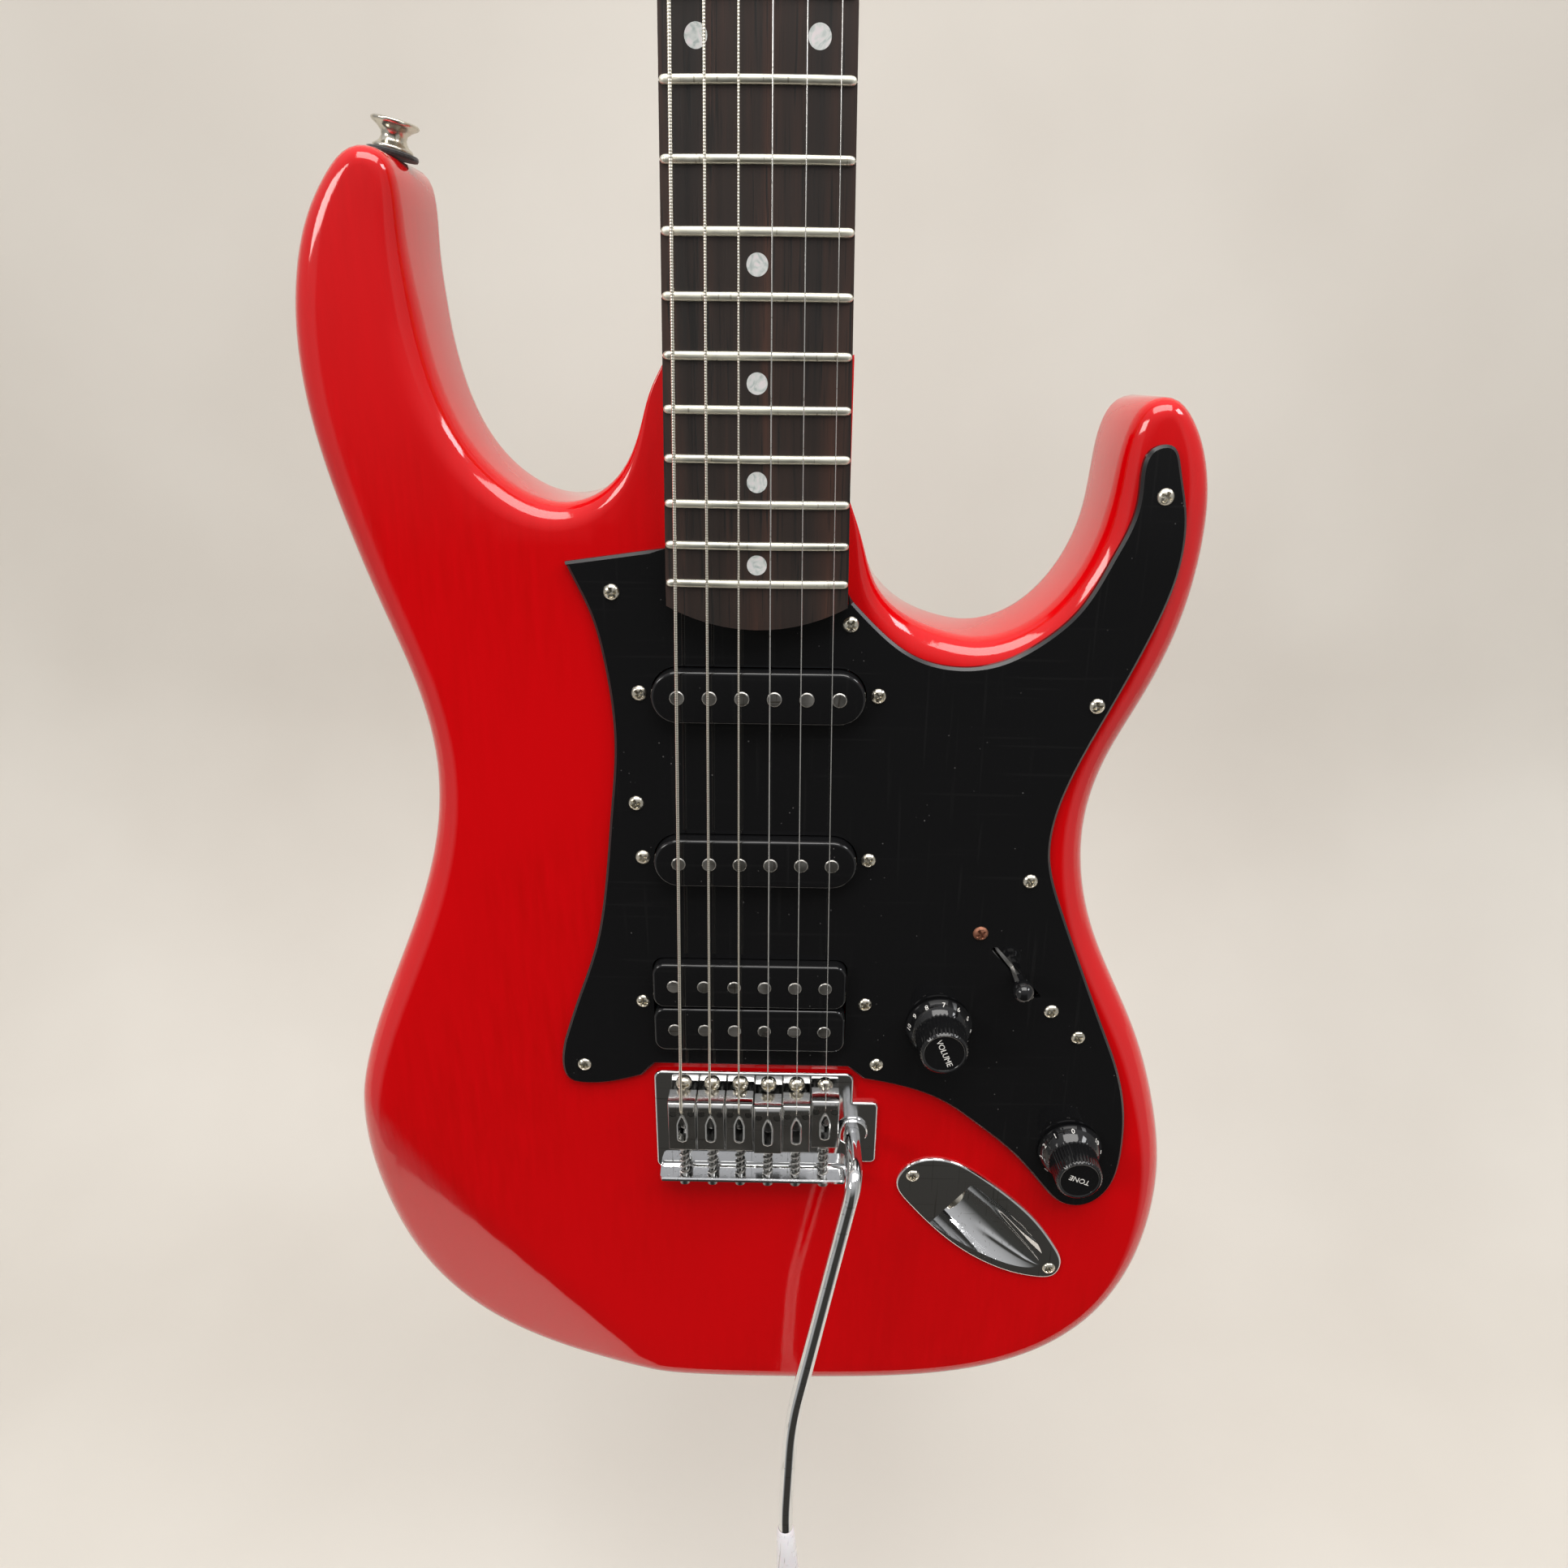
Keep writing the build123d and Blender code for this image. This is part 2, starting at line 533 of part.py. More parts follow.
# ---------------------------------------------------------------- tuners
GEAR_R = 4.0
WORM_R = 1.8
KEY_SHAFT_R = 1.5
HOUSING_WALL = 1.2
GEAR_H = HEAD_BACK - 6.0
KEY_H = HEAD_BACK - 5.0
KEY_BUTTON = (22.0, 38.0)


def post_plane(post, h):
    """Plane on the headstock at a post, with its first direction pointing out of the tuner row."""
    return Plane(origin=(post[0], -h, post[1]), x_dir=(TUNER_OUT[0], 0, TUNER_OUT[1]), z_dir=(0, -1, 0))


def key_plane(post, out):
    """Plane across a key's shaft, a distance out of the post."""
    x, z = at_post(post, out, -WORM_OFFSET)
    return Plane(origin=(x, -KEY_H, z), x_dir=(0, 1, 0), z_dir=(TUNER_OUT[0], 0, TUNER_OUT[1]))


with BuildPart() as tuner_housings:
    for post in POSTS:
        with BuildSketch(post_plane(post, HEAD_BACK - HOUSING[2])):
            with Locations((0, WORM_OFFSET / 2 - 1)):
                RectangleRounded(HOUSING[0], HOUSING[1], 3)
        extrude(amount=HOUSING[2])
    fillet(tuner_housings.faces().group_by(Axis.Y)[-1].edges(), 1.2)
    for post in POSTS:
        with BuildSketch(post_plane(post, HEAD_BACK - HOUSING[2] + HOUSING_WALL)):
            with Locations((0, WORM_OFFSET / 2 - 1)):
                Rectangle(HOUSING[0] - 2 * HOUSING_WALL, HOUSING[1] - 2 * HOUSING_WALL)
        extrude(amount=HOUSING[2] - 2 * HOUSING_WALL, mode=Mode.SUBTRACT)
        with BuildSketch(post_plane(post, HEAD_BACK - 3)):
            Circle(POST_R + FIT)
        extrude(amount=4, mode=Mode.SUBTRACT)
        with BuildSketch(key_plane(post, 5)):
            Circle(KEY_SHAFT_R + FIT)
        extrude(amount=6, mode=Mode.SUBTRACT)
finish(tuner_housings.part, "tuner_housings")

with BuildPart() as tuner_bushings:
    spots(POSTS, HEAD_FACE, 5.4, 1.6)
    spots(POSTS, HEAD_FACE, BUSHING_HOLE_R - GAP, -6)
    spots(POSTS, HEAD_FACE - 8, POST_R + FIT, 14, Mode.SUBTRACT)
    chamfer(tuner_bushings.faces().sort_by(Axis.Y)[:6].edges().group_by(SortBy.RADIUS)[-1], 0.6)
finish(tuner_bushings.part, "tuner_bushings")

for number, post in enumerate(POSTS, start=1):
    with BuildPart() as tuner_post:
        with BuildSketch(post_plane(post, GEAR_H - 1.5)):
            Circle(GEAR_R)
            with PolarLocations(GEAR_R, 14):
                Circle(0.35, mode=Mode.SUBTRACT)
        extrude(amount=3)
        with BuildSketch(post_plane(post, GEAR_H - 1.5)):
            Circle(POST_R)
        extrude(amount=HEAD_FACE + POST_RISE - GEAR_H + 1.5)
        chamfer(tuner_post.faces().sort_by(Axis.Y)[0].edges(), 0.5)
        with BuildSketch(post_plane(post, HEAD_FACE + POST_RISE - 4)):
            Rectangle(1.4, 10)
        extrude(amount=5, mode=Mode.SUBTRACT)
    finish(tuner_post.part, f"tuner_post_{number}")

    with BuildPart() as tuner_key:
        with BuildSketch(key_plane(post, -4.5)):
            Circle(WORM_R)
        extrude(amount=9)
        with BuildSketch(key_plane(post, 4)):
            Circle(KEY_SHAFT_R)
        extrude(amount=KEY_BUTTON[0] - 3)
        with BuildSketch(key_plane(post, HOUSING[0] / 2 + 0.3)):
            Circle(2.6)
        extrude(amount=3)
        with BuildSketch(key_plane(post, KEY_BUTTON[0])):
            Ellipse(3.2, 6.0)
        with BuildSketch(key_plane(post, (KEY_BUTTON[0] + KEY_BUTTON[1]) / 2)):
            Ellipse(3.6, 9.5)
        with BuildSketch(key_plane(post, KEY_BUTTON[1])):
            Ellipse(2.6, 7.0)
        loft()
    finish(tuner_key.part, f"tuner_key_{number}")

SMALL_SCREW_R = 1.0
SMALL_HEAD_R = 1.9
SMALL_HEAD_HIGH = 1.2
SMALL_SCREW_LONG = 7.0
TREE_FOOT_R = 2.4
TREE_NECK_R = 1.6
TREE_BAR = HEAD_FACE + 9.6   # underside of the bar that the strings run under
TREE_BAR_THICK = 1.0
TREE_BAR_SIZE = (12.5, 4.6)
TREE_SCREW_LONG = 17.0

with BuildPart() as headstock_screws:
    screws(TUNER_SCREWS, HEAD_BACK, SMALL_HEAD_R, -SMALL_HEAD_HIGH, SMALL_SCREW_R, -SMALL_SCREW_LONG)
    tree_top = TREE_BAR + TREE_BAR_THICK
    screws(TREE_POINTS, tree_top, SMALL_HEAD_R, SMALL_HEAD_HIGH, SMALL_SCREW_R, TREE_SCREW_LONG)
finish(headstock_screws.part, "headstock_screws")

with BuildPart() as string_trees:
    spots(TREE_POINTS, HEAD_FACE, TREE_FOOT_R, TREE_BAR - 2 - HEAD_FACE)
    spots(TREE_POINTS, TREE_BAR - 2, TREE_NECK_R, 2)
    with BuildSketch(face(TREE_BAR)):
        with Locations(*TREE_POINTS):
            RectangleRounded(*TREE_BAR_SIZE, 1.5)
    extrude(amount=TREE_BAR_THICK)
    spots(TREE_POINTS, HEAD_FACE - 1, SMALL_SCREW_R + GAP, TREE_BAR - HEAD_FACE + 4, Mode.SUBTRACT)
finish(string_trees.part, "string_trees")


# ---------------------------------------------------------------- pickguard
GUARD_LEFT = [
    (-60.0, 353.0), (-58.0, 348.5), (-53.0, 337.0), (-49.5, 322.0), (-47.5, 305.0), (-47.3, 292.0), (-49.5, 270.0),
    (-53.3, 238.5), (-58.0, 215.5), (-65.5, 194.0), (-71.0, 177.5),
]
GUARD_FOOT = [(-72.5, 165.5), (-70.5, 159.8), (-64.5, 158.0), (-43.0, 162.0)]
GUARD_NOTCH = [(-38.0, 167.4), (34.0, 167.2)]
GUARD_RIGHT = [
    (40.0, 162.0), (56.0, 158.4), (70.0, 152.5), (84.0, 142.0), (100.0, 127.5), (113.0, 111.5), (120.0, 105.0),
    (127.5, 103.8), (135.0, 108.5), (139.2, 117.5), (140.4, 131.0), (139.3, 147.5), (134.5, 167.0),
    (126.5, 186.5), (114.5, 215.0), (105.5, 237.0), (100.4, 255.0), (101.0, 269.0), (106.5, 288.0), (116.0, 310.5),
    (125.0, 333.0), (130.2, 352.0), (130.0, 370.0), (126.5, 383.0),
]
GUARD_HORN = [(123.0, 389.5), (118.0, 389.0)]
GUARD_CUTAWAY = [
    (115.0, 374.5), (109.5, 356.5), (101.0, 340.0), (90.0, 329.5), (77.0, 322.5), (63.0, 321.0),
    (50.0, 324.5), (39.0, 332.5), (30.0, 341.5),
]
GUARD_EDGE = 1.0

with BuildPart() as pickguard:
    with BuildSketch(face(TOP)):
        with BuildLine():
            bass = Spline(*GUARD_LEFT)
            foot = Spline(bass @ 1, *GUARD_FOOT, tangents=(bass % 1, (0.98, 0.2)))
            Polyline(foot @ 1, *GUARD_NOTCH, GUARD_RIGHT[0])
            treble = Spline(*GUARD_RIGHT)
            Spline(treble @ 1, *GUARD_HORN, GUARD_CUTAWAY[0])
            cutaway = Spline(*GUARD_CUTAWAY)
            Polyline(cutaway @ 1, (HEEL_WIDTH / 2 + 1, 347.0), (-HEEL_WIDTH / 2 - 1, 359.0), bass @ 0)
        make_face()
    extrude(amount=GUARD_THICK)
    guard_rim = pickguard.faces().sort_by(Axis.Y)[0].edges().filter_by(GeomType.BSPLINE)
    chamfer(guard_rim, GUARD_EDGE)
    # clearance round the end of the board
    with BuildSketch(face(TOP)):
        with BuildLine():
            w = HEEL_WIDTH / 2 + GUARD_GAP
            low = BOARD_FOOT - GUARD_GAP
            foot = ThreePointArc((-w, low + FOOT_SAG), (0, low), (w, low + FOOT_SAG))
            Polyline(foot @ 1, (w, SHELF_TOP), (-w, SHELF_TOP), foot @ 0)
        make_face()
    extrude(amount=GUARD_THICK, mode=Mode.SUBTRACT)
    with BuildSketch(face(TOP)):
        with Locations(*PICKUPS):
            SlotOverall(SINGLE_LONG + 2 * GUARD_GAP, SINGLE_WIDE + 2 * GUARD_GAP)
        with Locations(TWIN):
            RectangleRounded(SINGLE_LONG + 2 * GUARD_GAP, TWIN_COIL + TWIN_SPACING + 2 * GUARD_GAP, 4)
        with Locations(VOLUME, TONE):
            Circle(BUSHING_R + GAP)
        with Locations(Location((SELECTOR[0], SELECTOR[1], 0), (0, 0, SELECTOR_TURN))):
            SlotOverall(SLOT_LONG, SLOT_WIDE)
    extrude(amount=GUARD_THICK, mode=Mode.SUBTRACT)
    spots(GUARD_SCREWS, TOP, SCREW_R + GAP, GUARD_THICK, Mode.SUBTRACT)
    HEIGHT_SCREWS = [(x + s * SINGLE_SCREWS / 2, z) for x, z in PICKUPS for s in (-1, 1)]
    HEIGHT_SCREWS += [(TWIN[0] + 1.5 + s * TWIN_SCREWS / 2, TWIN[1]) for s in (-1, 1)]
    SWITCH_SCREWS = [along(SELECTOR, SELECTOR_TURN, s * SELECTOR_SCREWS / 2) for s in (-1, 1)]
    spots(HEIGHT_SCREWS + SWITCH_SCREWS, TOP, SCREW_R + GAP, GUARD_THICK, Mode.SUBTRACT)
finish(pickguard.part, "pickguard")


# ---------------------------------------------------------------- pickups
COIL_TOP = TOP + PICKUP_RISE - COVER_WALL - 0.2
COIL_HIGH = 11.0
FLANGE_THICK = 2.4
POLES = [(c[0] + k * POLE_SPREAD, c[1]) for c in PICKUPS for k in STEPS]
TWIN_ROWS = [(TWIN[0], TWIN[1] + s * TWIN_SPACING / 2) for s in (-1, 1)]
TWIN_POLES = [(c[0] + k * (POLE_SPREAD + 2), c[1]) for c in TWIN_ROWS for k in STEPS]
TWIN_TOP = TOP + PICKUP_RISE - 0.6
TWIN_HIGH = 16.0

with BuildPart() as pickup_covers:
    with BuildSketch(face(TOP + PICKUP_RISE - COVER_DEEP)):
        with Locations(*PICKUPS):
            SlotOverall(SINGLE_LONG, SINGLE_WIDE)
    extrude(amount=COVER_DEEP)
    fillet(pickup_covers.faces().group_by(Axis.Y)[0].edges(), 0.9)
    with BuildSketch(face(TOP + PICKUP_RISE - COVER_DEEP)):
        with Locations(*PICKUPS):
            SlotOverall(SINGLE_LONG - 2 * COVER_WALL, SINGLE_WIDE - 2 * COVER_WALL)
    extrude(amount=COVER_DEEP - COVER_WALL, mode=Mode.SUBTRACT)
    spots(POLES, TOP, POLE_R + GAP, PICKUP_RISE + 1, Mode.SUBTRACT)
finish(pickup_covers.part, "pickup_covers")

with BuildPart() as pickup_coils:
    with BuildSketch(face(COIL_TOP - COIL_HIGH)):
        with Locations(*PICKUPS):
            SlotOverall(SINGLE_LONG - 2 * COVER_WALL - 3, SINGLE_WIDE - 2 * COVER_WALL - 2)
    extrude(amount=COIL_HIGH)
    with BuildSketch(face(COIL_TOP - COIL_HIGH - FLANGE_THICK)):
        with Locations(*PICKUPS):
            SlotOverall(SINGLE_SCREWS + 7, SINGLE_WIDE - 2 * COVER_WALL - 0.6)
    extrude(amount=FLANGE_THICK)
    spots(POLES, COIL_TOP - COIL_HIGH - FLANGE_THICK, POLE_R + GAP, COIL_HIGH + FLANGE_THICK, Mode.SUBTRACT)
    spots(HEIGHT_SCREWS[:4], COIL_TOP - COIL_HIGH - FLANGE_THICK, SCREW_R + GAP, FLANGE_THICK, Mode.SUBTRACT)
finish(pickup_coils.part, "pickup_coils")

with BuildPart() as pickup_poles:
    spots(POLES, TOP + PICKUP_RISE + 0.3, POLE_R, -POLE_LONG)
    spots(TWIN_POLES, TWIN_TOP + 0.3, POLE_R, -TWIN_HIGH)
    chamfer(pickup_poles.faces().filter_by(GeomType.PLANE).group_by(Axis.Y)[0].edges(), 0.3)
finish(pickup_poles.part, "pickup_poles")

with BuildPart() as humbucker_bobbins:
    with BuildSketch(face(TWIN_TOP - TWIN_HIGH + 1)):
        with Locations(*TWIN_ROWS):
            RectangleRounded(SINGLE_LONG, TWIN_COIL, 5)
    extrude(amount=TWIN_HIGH - 1)
    fillet(humbucker_bobbins.faces().group_by(Axis.Y)[0].edges(), 0.9)
    spots(TWIN_POLES, TWIN_TOP - TWIN_HIGH, POLE_R + GAP, TWIN_HIGH + 1, Mode.SUBTRACT)
finish(humbucker_bobbins.part, "humbucker_bobbins")

with BuildPart() as humbucker_baseplate:
    with BuildSketch(face(TWIN_TOP - TWIN_HIGH)):
        with Locations((TWIN[0] + 0.7, TWIN[1])):
            Rectangle(SINGLE_LONG - 2, TWIN_COIL + TWIN_SPACING - 1)
            Rectangle(TWIN_SCREWS + 8, 12)
    extrude(amount=1)
    spots(TWIN_POLES, TWIN_TOP - TWIN_HIGH, POLE_R + GAP, 1, Mode.SUBTRACT)
    spots(HEIGHT_SCREWS[4:], TWIN_TOP - TWIN_HIGH, SCREW_R + GAP, 1, Mode.SUBTRACT)
finish(humbucker_baseplate.part, "humbucker_baseplate")

TUBE_R = 2.6
SWITCH_TOP = TOP - 0.2

with BuildPart() as machine_screws:
    screws(HEIGHT_SCREWS, GUARD_TOP, SCREW_HEAD_R, SCREW_HEAD_HIGH, SCREW_R, 19)
    screws(SWITCH_SCREWS, GUARD_TOP, SCREW_HEAD_R, SCREW_HEAD_HIGH, SCREW_R, 8)
    fillet(machine_screws.faces().group_by(Axis.Y)[0].edges(), 0.9)
finish(machine_screws.part, "machine_screws")

with BuildPart() as height_tubes:
    spots(HEIGHT_SCREWS[:4], TOP, TUBE_R, COIL_TOP - COIL_HIGH - TOP)
    spots(HEIGHT_SCREWS[4:], TOP, TUBE_R, TWIN_TOP - TWIN_HIGH + 1 - TOP)
    spots(HEIGHT_SCREWS, TOP, SCREW_R + GAP, -30, Mode.SUBTRACT)
finish(height_tubes.part, "height_tubes")


# ---------------------------------------------------------------- controls
def in_slot(distance, h, across=0.0):
    """Point of X, h and Z on the selector's slot line."""
    x, z = along(SELECTOR, SELECTOR_TURN, distance, across)
    return (x, h, z)


SWITCH_PLANE = Plane(
    origin=(SELECTOR[0], -SWITCH_TOP, SELECTOR[1]),
    x_dir=(cos(radians(SELECTOR_TURN)), 0, sin(radians(SELECTOR_TURN))),
    z_dir=(0, -1, 0),
)
CHEEK_GAP = 9.0
CHEEK_THICK = 1.0
LEVER_H = GUARD_TOP - LEVER_PIVOT
LEVER_LOW = 6.0
PIN_R = 1.5

with BuildPart() as selector_frame:
    with BuildSketch(SWITCH_PLANE):
        Rectangle(SELECTOR_SCREWS + 7, CHEEK_GAP + 2 * CHEEK_THICK)
        SlotOverall(SLOT_LONG + 1, 3.2, mode=Mode.SUBTRACT)
        with Locations((-SELECTOR_SCREWS / 2, 0), (SELECTOR_SCREWS / 2, 0)):
            Circle(SCREW_R + GAP, mode=Mode.SUBTRACT)
    extrude(amount=-CHEEK_THICK)
    with BuildSketch(SWITCH_PLANE):
        with Locations((0, -(CHEEK_GAP + CHEEK_THICK) / 2), (0, (CHEEK_GAP + CHEEK_THICK) / 2)):
            Rectangle(34, CHEEK_THICK)
    extrude(amount=-26)
    rod(in_slot(0, LEVER_H, -8), in_slot(0, LEVER_H, 8), PIN_R + FIT, Mode.SUBTRACT)
    with BuildSketch(SWITCH_PLANE.offset(-26)):
        Rectangle(34, CHEEK_GAP + 2 * CHEEK_THICK)
    extrude(amount=-1.2)
finish(selector_frame.part, "selector_frame")

with BuildPart() as selector_lever:
    with BuildSketch(SWITCH_PLANE.offset(LEVER_H - LEVER_LOW - SWITCH_TOP)):
        Rectangle(5.0, LEVER_THICK)
    extrude(amount=LEVER_LOW + GUARD_TOP + LEVER_RISE - LEVER_H)
    with BuildSketch(SWITCH_PLANE.offset(LEVER_H - LEVER_LOW - SWITCH_TOP)):
        Rectangle(9.0, CHEEK_GAP - 1.0)
    extrude(amount=4)
    rod(in_slot(0, LEVER_H, -CHEEK_GAP / 2 - 0.8), in_slot(0, LEVER_H, CHEEK_GAP / 2 + 0.8), PIN_R)
finish(selector_lever.part, "selector_lever")

TIP_LOW = GUARD_TOP + 4.0
with BuildPart() as selector_tip:
    with BuildSketch(SWITCH_PLANE.offset(TIP_LOW - SWITCH_TOP)):
        Circle(4.1)
    with BuildSketch(SWITCH_PLANE.offset(TIP_LOW + 7 - SWITCH_TOP)):
        Circle(3.2)
    with BuildSketch(SWITCH_PLANE.offset(TIP_LOW + 12 - SWITCH_TOP)):
        Circle(3.6)
    loft()
    fillet(selector_tip.faces().sort_by(Axis.Y)[0].edges(), 2.2)
    with BuildSketch(SWITCH_PLANE.offset(TIP_LOW - SWITCH_TOP)):
        Rectangle(5.0 + 2 * GAP, LEVER_THICK + 2 * GAP)
    extrude(amount=GUARD_TOP + LEVER_RISE - TIP_LOW + GAP, mode=Mode.SUBTRACT)
finish(selector_tip.part, "selector_tip")

POT_NUT_R = 5.5
with BuildPart() as potentiometers:
    spots([VOLUME, TONE], TOP - 0.2, POT_R, -POT_DEEP)
    spots([VOLUME, TONE], TOP - 0.4, BUSHING_R, GUARD_THICK + 4.4)
    spots([VOLUME, TONE], TOP - POT_DEEP + 1.5, POT_SHAFT_R + FIT, 20, Mode.SUBTRACT)
    with BuildSketch(face(GUARD_TOP)):
        with Locations(VOLUME, TONE):
            RegularPolygon(POT_NUT_R, 6)
            Circle(BUSHING_R + FIT, mode=Mode.SUBTRACT)
    extrude(amount=2.2)
finish(potentiometers.part, "potentiometers")

for name, centre in (("volume", VOLUME), ("tone", TONE)):
    with BuildPart() as shaft:
        spots([centre], TOP - POT_DEEP + 2, POT_SHAFT_R, POT_DEEP + GUARD_THICK + 11.5)
    finish(shaft.part, f"{name}_shaft")

    with BuildPart() as knob:
        low = GUARD_TOP + KNOB_GAP
        with BuildSketch(Plane(origin=(centre[0], 0, centre[1]), x_dir=(1, 0, 0), z_dir=(0, 0, 1))):
            with BuildLine():
                Polyline(
                    (0, -low), (KNOB_R, -low), (KNOB_R, -low - 1.2), (KNOB_BARREL_R + 0.6, -low - 5.0),
                    (KNOB_BARREL_R, -low - 6.2), (KNOB_TOP_R, -low - KNOB_HIGH), (0, -low - KNOB_HIGH), close=True,
                )
            make_face()
        revolve(axis=Axis((centre[0], 0, centre[1]), (0, 1, 0)))
        fillet(knob.faces().sort_by(Axis.Y)[0].edges(), 0.6)
        spots([centre], low, KNOB_BARREL_R - 1.6, 3.6, Mode.SUBTRACT)
        spots([centre], low, POT_SHAFT_R + GAP, 13, Mode.SUBTRACT)
    finish(knob.part, f"{name}_knob")


# ---------------------------------------------------------------- output jack
JACK_THICK = 1.4
JACK_EDGE = [
    (54.8, 112.5), (57.5, 119.5), (66.5, 124.4), (78.0, 122.5), (89.0, 115.5), (101.0, 105.5), (111.5, 94.5),
    (120.0, 82.0), (123.4, 72.0), (121.0, 66.8), (113.5, 65.8), (103.5, 68.0), (91.5, 73.5), (80.0, 81.5),
    (69.5, 91.5), (60.0, 102.5),
]
SOCKET_R = 4.7
SOCKET_LONG = 13.0

with BuildPart() as jack_plate:
    rod(jack_point(-SCOOP_WALL), jack_point(60), SCOOP_R + SCOOP_WALL)
    split(bisect_by=face(TOP + JACK_THICK), keep=Keep.BOTTOM)
    with BuildSketch(face(TOP)):
        with BuildLine():
            Spline(*JACK_EDGE, periodic=True)
        make_face()
    extrude(amount=JACK_THICK)
    rod(jack_point(0), jack_point(70), SCOOP_R, Mode.SUBTRACT)
    rod(jack_point(-10, SOCKET_DEEP), jack_point(10, SOCKET_DEEP), SOCKET_R + GAP, Mode.SUBTRACT)
    spots(JACK_SCREWS, TOP, SCREW_R + GAP, 5, Mode.SUBTRACT)
finish(jack_plate.part, "jack_plate")

with BuildPart() as jack_socket:
    rod(jack_point(-SOCKET_LONG, SOCKET_DEEP), jack_point(3.0, SOCKET_DEEP), SOCKET_R)
    rod(jack_point(-SCOOP_WALL - 2.0, SOCKET_DEEP), jack_point(-SCOOP_WALL - 0.1, SOCKET_DEEP), 5.8)
    rod(jack_point(0.1, SOCKET_DEEP), jack_point(2.2, SOCKET_DEEP), 6.0)
    rod(jack_point(-SOCKET_LONG - 1, SOCKET_DEEP), jack_point(4.0, SOCKET_DEEP), PLUG_R, Mode.SUBTRACT)
finish(jack_socket.part, "jack_socket")


# ---------------------------------------------------------------- bridge
PLATE_MID = ((PLATE_X[0] + PLATE_X[1]) / 2, BRIDGE_Z + (PLATE_Z[0] + PLATE_Z[1]) / 2)
PLATE_SIZE = (PLATE_X[1] - PLATE_X[0], PLATE_Z[1] - PLATE_Z[0])
PLATE_TOP = TOP + PLATE_THICK
SADDLE_X = [STRING_X + k * SADDLE_PITCH for k in (-2.5, -1.5, -0.5, 0.5, 1.5, 2.5)]
INTONATION_H = TOP + 7.0
INTONATION_R = 1.2
WALL_Z = BRIDGE_Z + PLATE_Z[0]
SADDLE_FRONT = 2.5
BEVEL_RISE = 1.4

with BuildPart() as trem_plate:
    with BuildSketch(face(TOP)):
        with Locations(PLATE_MID):
            RectangleRounded(*PLATE_SIZE, 3)
        with Locations(((PLATE_X[1] - 8 + EAR_X) / 2, BRIDGE_Z + (EAR_Z[0] + EAR_Z[1]) / 2)):
            RectangleRounded(EAR_X - PLATE_X[1] + 8, EAR_Z[1] - EAR_Z[0], 2)
    extrude(amount=PLATE_THICK)
    with BuildSketch(face(TOP)):
        with Locations((PLATE_MID[0], WALL_Z + PLATE_THICK / 2)):
            Rectangle(PLATE_SIZE[0] - 6, PLATE_THICK)
    extrude(amount=PLATE_WALL + PLATE_THICK)
    fillet(trem_plate.edges().filter_by(Axis.X).group_by(Axis.Y)[0], 0.8)
    # bevelled underside ahead of the pivot
    with BuildSketch(Plane.YZ.offset(PLATE_X[0] - 1)):
        with BuildLine():
            Polyline(
                (-TOP, BRIDGE_Z + PIVOT_Z), (-TOP, BRIDGE_Z + PLATE_Z[1] + 1),
                (-TOP - BEVEL_RISE, BRIDGE_Z + PLATE_Z[1] + 1), close=True,
            )
        make_face()
    extrude(amount=PLATE_SIZE[0] + 12, mode=Mode.SUBTRACT)
    spots(PIVOT_SCREWS, TOP, PIVOT_HOLE_R, 5, Mode.SUBTRACT)
    spots([(x, BRIDGE_Z + BLOCK_MID) for x in SADDLE_X], TOP, 2.0, 5, Mode.SUBTRACT)
    spots([(ARM[0], BRIDGE_Z + ARM[1])], TOP, ARM_R + FIT, 5, Mode.SUBTRACT)
    for x in SADDLE_X:
        rod((x, INTONATION_H, WALL_Z - 1), (x, INTONATION_H, WALL_Z + 4), INTONATION_R + GAP, Mode.SUBTRACT)
finish(trem_plate.part, "trem_plate")

STRING_HOLE_R = 2.2
with BuildPart() as trem_block:
    with BuildSketch(face(TOP)):
        with Locations(((BLOCK_X[0] + BLOCK_X[1]) / 2, BRIDGE_Z + BLOCK_MID)):
            Rectangle(BLOCK_X[1] - BLOCK_X[0], BLOCK_Z[1] - BLOCK_Z[0])
    extrude(amount=-BLOCK_DEEP)
    chamfer(trem_block.faces().sort_by(Axis.Y)[-1].edges(), 1)
    spots([(x, BRIDGE_Z + BLOCK_MID) for x in SADDLE_X], TOP, 1.5, -BLOCK_DEEP, Mode.SUBTRACT)
    spots([(x, BRIDGE_Z + BLOCK_MID) for x in SADDLE_X], BLOCK_LOW, STRING_HOLE_R, 12, Mode.SUBTRACT)
    # threaded socket of the arm, under the plate
    spots([(ARM[0], BRIDGE_Z + ARM[1])], TOP, 5.5, -12)
    spots([(ARM[0], BRIDGE_Z + ARM[1])], TOP, ARM_R + FIT, -10, Mode.SUBTRACT)
finish(trem_block.part, "trem_block")

